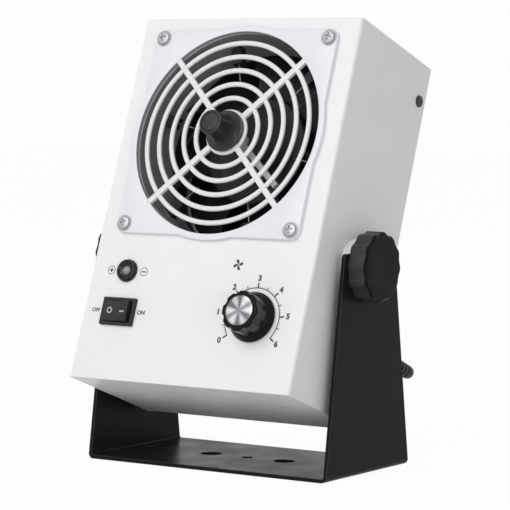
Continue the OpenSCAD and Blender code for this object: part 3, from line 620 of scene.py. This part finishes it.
# %% Rings and spokes
def ring_set(name, finish_name, place, points, outline, **sizes):
    """Round rings about one middle. The outline is the section of their bar and how far it is lifted."""
    tree = Recipe(name, **sizes)
    reach = tree.math("ADD", tree.size("First"), tree.math("MULTIPLY", tree.index(), tree.size("Step")))
    circles = tree.copies("Rings", tree.circle(points, 1.0), Scale=tree.vector(reach, reach, 1.0))
    section, lift = outline(tree)
    return tree.make(tree.moved(tree.swept(tree.realized(circles), section), z=lift), finish_name, place)

def flat_bar(tree):
    return tree.bar(tree.size("Width"), tree.size("Height"), tree.size("Soft")), tree.half("Height")

rings = ring_set("grille_rings", "grille_paint", GRILLE, 144, flat_bar,
                 Rings=6, First=11.35 * MM, Step=RING_STEP * MM, Width=2.7 * MM, Height=2.1 * MM, Soft=0.95 * MM)
spoke = Recipe("grille_spokes", Spokes=4, Length=57 * MM, Width=3.2 * MM, Height=PLATE_T * MM, Soft=0.5 * MM)
section, lift = flat_bar(spoke)
arm = spoke.swept(spoke.line(3.5, "Length"), section, caps=True)
spokes = spoke.make(spoke.moved(spoke.crossed("Spokes", arm), z=lift), "grille_paint", GRILLE)
hub_line = softened([(2.05, 0, 0), (5.4, 0, 0.3), (5.4, PLATE_T, 0.4), (2.05, PLATE_T, 0)])
hub = turned("grille_hub", hub_line, GRILLE, 64, loop=True)
grille_mesh = joined("grille", [plate, rings, spokes, hub])
piece("grille", grille_mesh, "housing", "grille_paint", "front_grille")

def on_inner_wall(middle, way):
    inward = -(way.x * middle.x + way.y * middle.y) / max(middle.xy.length, 1e-9)
    return inward > 0.9 and abs(middle.xy.length - OPENING_R) < 0.15

# The white plate's inner wall is painted the duct's grey: a painted shade on the edge of the opening.
second_finish(grille_mesh, "duct_lining_with_painted_shade", GRILLE, on_inner_wall)
second_finish(grille_mesh, "ring_paint", GRILLE, lambda middle, way: middle.xy.length < OPENING_R - 0.3)

# %% [markdown]
# ## Knobs
# The brush knob is turned, with a wide foot that flares into a slim neck, so two fingers can twist it. The clamp knobs
# and the speed knob have flutes. A flute is the arc of a large circle that bites into the rim. The fluted rims take a
# finish of their own, a lighter tone of the same black moulding: painted light on the sides that face the lamps.

# %% Brush knob
foot, face, low, top = 11.3, 6.8, 2.8, 18.0
flare = [(foot - (foot - face) * math.sin(math.radians(9 * i)), low + 1 + 9.4 * (1 - math.cos(math.radians(9 * i))))
         for i in range(11)]
profile = [(0, low)] + softened([(foot - 1, low, 0), (foot, low, 0.3), (foot, low + 1, 0)]) + flare[1:]
profile += softened([(face, top - 2.5, 0), (face, top, 0.9), (5.65, top, 0.15), (5.45, top - 0.6, 0.1),
                     (5.1, top - 0.6, 0.1), (4.9, top - 0.15, 0.15), (0, top - 0.1, 0)], 6)
brush_knob = turned("brush_knob_skin", profile, GRILLE, 96, smooth=50)
piece("brush_knob_skin", brush_knob, "brush", "brush_black", "brush_knob")

# %% Flutes
def fluted(count, full, depth, flute, start=0.0):
    """The radius by angle of a rim with flutes, scaled so that it also serves chamfered rows."""
    centre = full - depth + flute
    def radius(a, r, z):
        off = (a - start + math.pi / count) % (2 * math.pi / count) - math.pi / count
        inside = flute ** 2 - (centre * math.sin(off)) ** 2
        bite = centre * math.cos(off) - math.sqrt(inside) if inside > 0 else full
        return r * min(bite, full) / full if r > full * 0.8 else r
    return radius

# %% Clamp knobs
CLAMP_R, CLAMP_T = 18.5, 10.5
base = STAND_W / 2 + 0.15
profile = softened([(0, base, 0), (CLAMP_R, base, 0.3), (CLAMP_R, base + CLAMP_T - 1.2, 0.25),
                    (CLAMP_R - 1.2, base + CLAMP_T, 0.25), (12, base + CLAMP_T, 0), (0, base + CLAMP_T, 0)])
for side, body in ((1, "right_clamp"), (-1, "left_clamp")):
    knob = turned(body + "_skin", profile, on_axle(side), 288, fluted(12, CLAMP_R, 0.9, 12), smooth=24)
    piece(body + "_skin", knob, body, "clamp_black", body + "_knob")
    # The fluted sides take the lighter finish: painted light, while face and chamfer keep the plain black.
    second_finish(knob, "clamp_rim_painted_light", on_axle(side), lambda middle, way: abs(way.z) < 0.4)

# %% Speed knob
SKIRT_T, GRIP_R = 4.9, 10.8
skirt_line = softened([(6.5, 0.4, 0), (13.3, 0.4, 0.2), (13.3, 1.7, 0.5), (11.4, 4.6, 0.4), (10.3, SKIRT_T, 0),
                       (6.5, SKIRT_T, 0)])
grip_line = softened([(8, 4.5, 0), (GRIP_R, 4.5, 0), (GRIP_R, 12.7, 0.3), (10.2, 13.6, 0.25), (8.05, 13.6, 0.1),
                      (8.05, 12.6, 0)])
skirt = turned("dial_skirt", skirt_line, DIAL, 128, loop=True)
grip = turned("dial_grip", grip_line, DIAL, 256, fluted(8, GRIP_R, 0.9, 3.2, math.pi / 8), loop=True, smooth=35)
speed_knob = joined("speed_knob_skin", [skirt, grip])

def on_grip(middle, way):
    return abs(way.z) < 0.4 and middle.z > SKIRT_T and middle.xy.length > 9

piece("speed_knob_skin", speed_knob, "dial", "knob_plastic", "speed_knob")
# The flutes are painted lighter than the skirt: painted light on the sides that face the lamps.
second_finish(speed_knob, "dial_grip", DIAL, on_grip)
cap_line = softened([(0, 12.6, 0), (7.95, 12.6, 0), (7.95, 13.85, 0.2), (7.0, 14.0, 0.3), (0, 14.0, 0)])
piece("speed_cap", turned("speed_cap", cap_line, DIAL, 128), "dial", "spun_aluminium", "speed_knob_cap")

# %% [markdown]
# ## Lamp and switch
# The lamp sits in a dished bezel. The rocker switch leans to its OFF side, so its right end stands proud. Both are
# plain mouldings whose soft edges and recesses make the look. The switch case is turned too: its radius follows a
# rectangle, so one profile gives the flange, the pocket and the box behind the panel.

# %% Lamp
bezel_line = softened([(2.6, -4, 0), (3.4, -4, 0), (3.4, 0, 0), (6.2, 0, 0), (6.2, 1.2, 0.3), (5.5, 2.6, 0.4),
                       (4.8, 2.6, 0.3), (4.1, 1.5, 0.3), (2.9, 1.0, 0.2), (2.6, 0.9, 0)])
bezel = turned("lamp_ring", bezel_line, LAMP, 96, loop=True, smooth=50)
piece("lamp_ring", bezel, "housing", "black_gloss", "lamp_bezel")
lens = turned("lamp_dome", [(0, -8), (2.5, -8)] + dome(2.5, 0.9, 1.5, 9), LAMP, 64, smooth=60)
piece("lamp_dome", lens, "housing", "lamp_lens", "lamp")

# %% Switch frame and rocker
case_line = softened([(0, -13.2, 0), (9.5, -13.2, 0.3), (9.5, 0, 0), (10.5, 0, 0), (10.5, 1.8, 0.4), (8.5, 1.8, 0.3),
                      (8.5, -11.2, 0), (0, -11.2, 0)])

def boxed(a, wide, z):
    """The radius by angle of a box that is lower than it is wide, a little less so inside the pocket."""
    return round_box(wide, wide - (3.0 if wide > 9 else 2.7), 0.5)(a)

case_skin = turned("switch_case", case_line, SWITCH, 480, boxed, smooth=30)
lean = SWITCH @ Matrix.Rotation(math.radians(-8), 4, "Y")
half_w, half_h = 8.2, 5.5
outline = [(-half_w, 3.2), (0, 2.55), (half_w, 3.2), (half_w - 0.8, -0.8), (2, -5.5), (-2, -5.5), (-half_w + 0.8, -0.8)]
count = len(outline)
points = [(x, y, z) for y in (-half_h, half_h) for x, z in outline]
faces = [tuple(range(count)), tuple(range(2 * count - 1, count - 1, -1))]
faces += [(i, count + i, count + (i + 1) % count, (i + 1) % count) for i in range(count)]
rocker_mesh = bpy.data.meshes.new("rocker_skin")
rocker_mesh.from_pydata([tuple(c * MM for c in p) for p in points], [], faces)

def round_edges(shell):
    face_outwards(shell)
    sharp = [e for e in shell.edges if len(e.link_faces) == 2 and e.calc_face_angle() > 0.5]
    bmesh.ops.bevel(shell, geom=sharp, offset=0.35 * MM, segments=3, affect="EDGES", profile=0.5)

reworked(rocker_mesh, round_edges).transform(lean)
rocker_mesh.shade_smooth()
rocker_mesh.set_sharp_from_angle(angle=math.radians(35))
piece("rocker_skin", rocker_mesh, "rocker", "switch_black", "switch_rocker")
piece("switch_case", case_skin, "housing", "switch_black", "switch_body")
print("lamp and switch done")

# %% [markdown]
# ## Screws
# A pan head is a flat dome with a cross recess. The dome is turned, and two crossed wedges are cut out of it. One
# screw is enough, because the node tree sets it on every corner of a square, or along a line.

# %% One screw
def cut_cross(name, radius, rise, height, deep):
    """A turned dome with a cross recess."""
    crown = dome(radius, height * 0.4, rise, 15)
    rim = [(radius - 0.3, 0, 0), (radius, 0, 0.1), (radius, height * 0.35, 0.3)]
    profile = [(0, 0)] + softened(rim + [(r, z, 0) for r, z in crown[1:-1]]) + crown[-1:]
    head = bpy.data.objects.new(name, turned(name, profile, Matrix(), 48, smooth=50))
    cutter = bpy.data.meshes.new("cross")
    pole = crown[-1][1]
    wide, top, low = radius * 0.13, pole + 0.3, pole - deep
    tool = bmesh.new()
    for turn in (0, 90):
        box = bmesh.ops.create_cube(tool, size=1)["verts"]
        for v in box:
            reach = radius * (0.60 if v.co.z > 0 else 0.42)
            v.co = Vector((math.copysign(reach, v.co.x), math.copysign(wide, v.co.y), top if v.co.z > 0 else low)) * MM
            v.co.rotate(Matrix.Rotation(math.radians(turn), 3, "Z"))
    tool.to_mesh(cutter)
    tool.free()
    blade = bpy.data.objects.new("cross", cutter)
    for obj in (head, blade):
        scene.collection.objects.link(obj)
    cut = head.modifiers.new("cross", "BOOLEAN")
    cut.operation, cut.solver, cut.object, cut.use_self = "DIFFERENCE", "EXACT", blade, True
    bpy.context.view_layer.update()
    mesh = bpy.data.meshes.new_from_object(head.evaluated_get(bpy.context.evaluated_depsgraph_get()))
    for obj in (head, blade):
        bpy.data.objects.remove(obj)
    return mesh

def shank(name, radius, start, stop, threaded, pitch=0.7):
    """A round shank from start down to stop, with thread ridges over its last stretch."""
    rows = [(radius, stop + threaded)]
    for k in range(int(threaded / pitch)):
        z = stop + threaded - k * pitch
        rows += [(radius, z - 0.1), (radius - 0.35, z - 0.35), (radius, z - 0.6)]
    rows = [(0, start), (radius, start)] + rows + [(radius - 0.3, stop), (0, stop)]
    return turned(name, rows[::-1], Matrix(), 24, smooth=20)

def screw(name, head_mesh, head_at, *rest):
    """Head and shank as one pattern for the node tree."""
    head_mesh.transform(Matrix.Translation((0, 0, head_at * MM)))
    obj = bpy.data.objects.new(name, joined(name, [head_mesh, *rest]))
    scene.collection.objects.link(obj)
    return obj

# %% Screws in their places
def screw_set(name, pattern, finish_name, place, across, along):
    """Copies at the corners of a rectangle, or at the ends of a line where across is 0."""
    tree = Recipe(name, Screw=pattern, Across=across * MM, Along=along * MM)
    wide, long = tree.size("Across"), tree.size("Along")
    if across:
        corners = {"Size X": wide, "Size Y": long, "Vertices X": 2, "Vertices Y": 2}
        spots = tree.add("GeometryNodeMeshGrid", corners).outputs[0]
    else:
        low = tree.vector(0.0, tree.math("MULTIPLY", long, -0.5), 0.0)
        ends = {"Count": 2, "Start Location": low, "Offset": tree.vector(0.0, long, 0.0)}
        spots = tree.add("GeometryNodeMeshLine", ends).outputs[0]
    turn = tree.add("FunctionNodeRandomValue", {"Seed": 7}, data_type="FLOAT_VECTOR")
    turn.inputs[0].default_value, turn.inputs[1].default_value = (0, 0, 0), (0, 0, 1.5)
    return tree.make(tree.set_on(spots, tree.pattern("Screw"), Rotation=turn.outputs[0]), finish_name, place)

SIDE_SCREW_IN, SIDE_SCREW_PITCH = 70.3, 160.6
bolt = screw("bolt", cut_cross("bolt_head", 3.8, 0.84, 1.4, 0.75), 3.0, shank("bolt_shank", 2, 3.1, -67.9, 12))
short = screw("short_bolt", cut_cross("short_head", 3.8, 1.08, 1.8, 0.9), 1.6, shank("short_shank", 2, 1.7, -5.4, 3.5))
small = screw("side_bolt", cut_cross("side_head", 3.2, 1.02, 1.7, 0.85), 0, shank("side_shank", 1.5, 0.1, -6, 4))
for name, pattern, place, solid in (("grille_screws", bolt, GRILLE, "grille_bolts"),
                                    ("guard_screw_set", short, REAR, "guard_screws")):
    copies = screw_set(name, pattern, "plated_steel", place, BOLT_PITCH, BOLT_PITCH)
    piece(name, copies, "housing", "plated_steel", solid)
sides = []
for side, word in ((1, "right"), (-1, "left")):
    middle = FOOT + RIGHT * side * (BOX_W / 2) * MM - OUT * SIDE_SCREW_IN * MM + UP * (BOX_H / 2) * MM
    place = laid(-OUT * side, UP, RIGHT * side, middle)
    sides.append(screw_set("side_screws_" + word, small, "black_screw", place, 0, SIDE_SCREW_PITCH))
piece("side_screw_set", joined("side_screw_set", sides), "housing", "black_screw", "side_screws")
for pattern in (bolt, short, small):
    bpy.data.objects.remove(pattern)

# %% [markdown]
# ## Rear guard
# The guard behind the fan is welded from bright wire: round rings on four straight wires with a flat eye at each
# end. A circle is swept along each ring, and the ring count is an input.

# %% Guard
def round_wire(tree):
    return tree.circle(12, tree.half("Wire")), tree.half("Wire")

guard_rings = ring_set("guard_rings", "guard_wire", REAR, 120, round_wire,
                       Rings=6, First=15.35 * MM, Step=RING_STEP * MM, Wire=1.6 * MM)
stay = Recipe("guard_stays", Stays=4, Length=74 * MM, Wire=1.5 * MM)
wire, lift = round_wire(stay)
rod = stay.swept(stay.line(15, "Length"), wire, caps=True)
eye = stay.swept(stay.circle(32, 3.6 * MM), stay.bar(1.4 * MM, 1.5 * MM, 0.4 * MM))
eye = stay.moved(eye, BOLT_PITCH / math.sqrt(2) * MM)
both = stay.add("GeometryNodeJoinGeometry")
for part in (rod, eye):
    stay.tree.links.new(part, both.inputs[0])
guard_stays = stay.make(stay.moved(stay.crossed("Stays", both.outputs[0]), z=lift), "guard_wire", REAR)
piece("guard", joined("guard", [guard_rings, guard_stays]), "housing", "guard_wire", "rear_guard")

# %% [markdown]
# ## Fan wheel
# The wheel moves the air. Each blade is a thin wing: steep at the hub, flatter at the tip and swept a little in the
# turning direction. One blade is lofted from wing sections, and the tree sets seven of them round the hub.

# %% Blade and hub
def blade_mesh(root=30.0, tip=55.6, rows=12, around=9, deep=27, low=42.2):
    """A wing lofted from root to tip. It is as deep as the wheel, and its middle lies low behind the grille."""
    outline = [(u / (around - 1), 1) for u in range(around)]
    outline += [(u / (around - 1), -1) for u in range(around - 2, 0, -1)]
    points = []
    for k in range(rows):
        part = k / (rows - 1)
        r = root + (tip - root) * part
        pitch = math.radians(26 - 8 * part)
        chord, thick = deep / math.sin(pitch), 2.2 - 0.8 * part
        sweep = math.radians(12) * part ** 1.5
        for u, way in outline:
            along = (u - 0.5) * chord
            swell = math.sqrt(max(math.sin(math.pi * min(u * 1.05, 1)), 0.02))
            lift = 2.6 * math.sin(math.pi * u) + way * thick / 2 * swell
            height = along * math.sin(pitch) - lift * math.cos(pitch)
            angle = (along * math.cos(pitch) + lift * math.sin(pitch)) / r + sweep
            points.append((r * math.cos(angle), r * math.sin(angle), height - low))
    row = len(outline)
    faces = [(k * row + i, k * row + (i + 1) % row, (k + 1) * row + (i + 1) % row, (k + 1) * row + i)
             for k in range(rows - 1) for i in range(row)]
    faces += [tuple(range(row))[::-1], tuple((rows - 1) * row + i for i in range(row))]
    return reworked(drawn("blade", points, faces, Matrix(), 60), face_outwards)

blade = bpy.data.objects.new("blade", blade_mesh())
scene.collection.objects.link(blade)
wheel = Recipe("fan_blades", Blade=blade, Blades=7)
step = wheel.math("DIVIDE", 2 * math.pi, wheel.size("Blades"))
angle = wheel.math("MULTIPLY", wheel.index(), step)
copies = wheel.copies("Blades", wheel.pattern("Blade"), Rotation=wheel.vector(0.0, 0.0, angle))
blades = wheel.make(copies, "fan_plastic", GRILLE)
bpy.data.objects.remove(blade)
hub_line = softened([(0, -30.2, 0), (29, -30.2, 0.5), (29, -56.2, 0), (31, -56.2, 0.2), (31, -28.2, 2.5),
                     (24, -28.2, 0), (24, -29.0, 0.2), (9, -29.0, 0.2), (8.6, -28.4, 0), (0, -28.4, 0)])
hub = turned("fan_hub", hub_line, GRILLE, 128)
piece("fan_wheel", joined("fan_wheel", [blades, hub]), "impeller", "fan_plastic", "fan_impeller")

# %% [markdown]
# ## Bristles
# The brush wipes the needles clean. Its bristles stand in two rows of small tufts at the arm's end. Each filament is a
# thin rod that leans a little its own way, and the lean comes from a fixed seed.

# %% Bristles
tufts = Recipe("bristles", Rows=2, Tufts=6, Length=8 * MM, Gap=1.6 * MM, Long=2.4 * MM, Seed=3)
grid = tufts.add("GeometryNodeMeshGrid", {"Size X": tufts.size("Length"), "Size Y": tufts.size("Gap"),
                                          "Vertices X": tufts.size("Tufts"), "Vertices Y": tufts.size("Rows")})
rod = tufts.add("GeometryNodeMeshCylinder", {"Vertices": 5, "Radius": 0.09 * MM, "Depth": tufts.size("Long")})
rod = tufts.moved(rod.outputs[0], z=tufts.math("MULTIPLY", tufts.size("Long"), -0.5))
seat = tufts.add("GeometryNodeMeshCircle", {"Vertices": 14, "Radius": 0.42 * MM})
lean_by = tufts.add("FunctionNodeRandomValue", {"Seed": tufts.size("Seed")}, data_type="FLOAT_VECTOR")
lean_by.inputs[0].default_value, lean_by.inputs[1].default_value = (-0.12, -0.12, 0), (0.12, 0.12, 3)
tuft = tufts.realized(tufts.set_on(seat.outputs[0], rod, Rotation=lean_by.outputs[0]))
ARM_ANGLE, ARM_REACH, ARM_BEHIND = -41, 33, 13.2
place = GRILLE @ Matrix.Rotation(math.radians(ARM_ANGLE), 4, "Z")
place = place @ Matrix.Translation((ARM_REACH * MM, 0, -ARM_BEHIND * MM))
bristles = tufts.make(tufts.set_on(grid.outputs[0], tuft), "nylon_bristle", place)
piece("bristle_tufts", bristles, "brush", "nylon_bristle", "brush_bristles")

# %% [markdown]
# ## Lead relief
# A power lead leaves the back through a soft tapered sleeve. Rings of slots let it bend evenly. The sleeve is turned,
# with a groove every few millimetres.

# %% Relief sleeve
ROOT_R, END_R, SLOTS, SLOT_STEP = 6, 3.7, 11, 3.9
sleeve = [(0, -6.2), (ROOT_R, -6.2), (ROOT_R, 0), (6.8, 0), (6.8, 1.6), (6.4, 2)]
for k in range(SLOTS):
    z = 8 + k * SLOT_STEP
    wide = ROOT_R - (ROOT_R - END_R) * (z - 2) / 50.3
    sleeve += [(wide, z), (wide - 0.7, z + 0.25), (wide - 0.75, z + 1.35), (wide - 0.1, z + 1.6)]
sleeve += dome(END_R, 52.3, END_R, 15)
sleeve_skin = turned("relief_sleeve", sleeve, on_rear(58.5, 45.3), 48, smooth=30)
piece("relief_sleeve", sleeve_skin, "housing", "soft_black", "cord_relief")

# %% [markdown]
# ## Printed marks
# The panel is screen printed. Ink is a thin solid here, a few hundredths of a millimetre thick, so it is seen from
# every side and never flickers. The scale's ticks come from one small bar that a node tree copies round the knob.

# %% Scale of the speed knob
INK = 0.05
SWEEP, ARC_R, ARC_W, ARC_STEPS, DIGIT_R = 252, 16.0, 0.45, 126, 21.4
SCALE = DIAL @ Matrix.Translation((-0.5 * MM, -0.5 * MM, 0))

def ticks(name, count, long, wide):
    tree = Recipe(name, Ticks=count, Sweep=math.radians(SWEEP), Start=16.1 * MM, Long=long * MM, Wide=wide * MM)
    size = tree.vector(tree.size("Long"), tree.size("Wide"), INK * MM)
    bar = tree.add("GeometryNodeMeshCube", {"Size": size}).outputs[0]
    bar = tree.moved(bar, tree.math("ADD", tree.size("Start"), tree.half("Long")))
    step = tree.math("DIVIDE", tree.size("Sweep"), tree.math("SUBTRACT", tree.size("Ticks"), 1.0))
    angle = tree.math("SUBTRACT", math.radians(90 + SWEEP / 2), tree.math("MULTIPLY", tree.index(), step))
    return tree.make(tree.copies("Ticks", bar, Rotation=tree.vector(0.0, 0.0, angle)), "printed_black", SCALE)

def flat_shape(name, outline, place):
    """A thin closed plate from an outline in millimetres."""
    n = len(outline)
    points = [(x, y, z) for z in (-INK / 2, INK / 2) for x, y in outline]
    faces = [tuple(range(n))[::-1], tuple(range(n, 2 * n))]
    faces += [(i, (i + 1) % n, n + (i + 1) % n, n + i) for i in range(n)]
    return drawn(name, points, faces, place, 20)

def flat_bar_mark(name, half_long, half_wide, place):
    corners = [(x * half_long, y * half_wide) for x, y in ((-1, -1), (1, -1), (1, 1), (-1, 1))]
    return flat_shape(name, corners, place)

def ring_mark(name, outside, inside, place):
    profile = [(inside, -INK / 2), (outside, -INK / 2), (outside, INK / 2), (inside, INK / 2)]
    return turned(name, profile, place, 48, loop=True, smooth=20)

def words(text, high, place, bold=0.0):
    """Plain lettering, made a solid mesh before it is laid in place."""
    curve = bpy.data.curves.new(text, "FONT")
    curve.body, curve.size, curve.extrude = text, high * 1.38 * MM, INK / 2 * MM
    curve.align_x, curve.align_y, curve.resolution_u, curve.offset = "CENTER", "CENTER", 6, bold * MM
    obj = bpy.data.objects.new(text, curve)
    scene.collection.objects.link(obj)
    bpy.context.view_layer.update()
    mesh = bpy.data.meshes.new_from_object(obj.evaluated_get(bpy.context.evaluated_depsgraph_get()))
    bpy.data.objects.remove(obj)
    reworked(mesh, lambda shell: bmesh.ops.remove_doubles(shell, verts=shell.verts, dist=0.0005 * MM))
    mesh.transform(place)
    return mesh

def spot(x, y, turn=0.0):
    return Matrix.Translation((x * MM, y * MM, 0)) @ Matrix.Rotation(math.radians(turn), 4, "Z")

def at_angle(reach, k):
    a = math.radians(90 + SWEEP / 2 - SWEEP * k / ARC_STEPS)
    return reach * math.cos(a), reach * math.sin(a)

marks = [ticks("scale_main", 7, 3.0, 0.85), ticks("scale_half", 13, 1.9, 0.5), ticks("scale_fine", 61, 0.95, 0.26)]
for k in range(ARC_STEPS):
    corners = [(ARC_R, k), (ARC_R, k + 1), (ARC_R + ARC_W, k + 1), (ARC_R + ARC_W, k)]
    marks.append(flat_shape("arc", [at_angle(*corner) for corner in corners], SCALE))
for k in range(7):
    marks.append(words(str(k), 3.0, SCALE @ spot(*at_angle(DIGIT_R, k * ARC_STEPS / 6)), 0.22))
print("scale marks:", len(marks))

# %% Signs on the panel
marks += [words("OFF", 2.1, PANEL @ spot(-60.6, 37.1), 0.09), words("ON", 2.3, PANEL @ spot(-31.2, 37.1), 0.12)]
for x, arms in ((-56.0, 2), (-34.9, 1)):
    marks.append(ring_mark("sign_ring", 2.4, 2.05, PANEL @ spot(x, 59.4)))
    for k in range(arms):
        marks.append(flat_bar_mark("sign_bar", 1.2, 0.35, PANEL @ spot(x, 59.4, 90 * k)))
wing = [(0.1, -0.2), (0.9, -0.75), (2.0, -1.0), (3.0, -0.35), (2.85, 0.85), (1.8, 0.6), (0.8, 0.4)]
for k in range(4):
    marks.append(flat_shape("fan_wing", wing, PANEL @ spot(23.5, 66.0, 90 * k + 20)))
piece("panel_print", joined("panel_print", marks), "housing", "printed_black")

# %% Signs on the rocker
valley = math.atan(0.65 / 8.2)
left_half = lean @ Matrix.Translation((-4.4 * MM, 0.2 * MM, 2.91 * MM)) @ Matrix.Rotation(valley, 4, "Y")
right_half = lean @ Matrix.Translation((4.5 * MM, -0.4 * MM, 2.918 * MM)) @ Matrix.Rotation(-valley, 4, "Y")
rocker_marks = [ring_mark("off_ring", 1.75, 1.05, left_half), flat_bar_mark("on_bar", 1.75, 0.4, right_half)]
piece("rocker_print", joined("rocker_print", rocker_marks), "rocker", "printed_grey")
print("printed marks done")
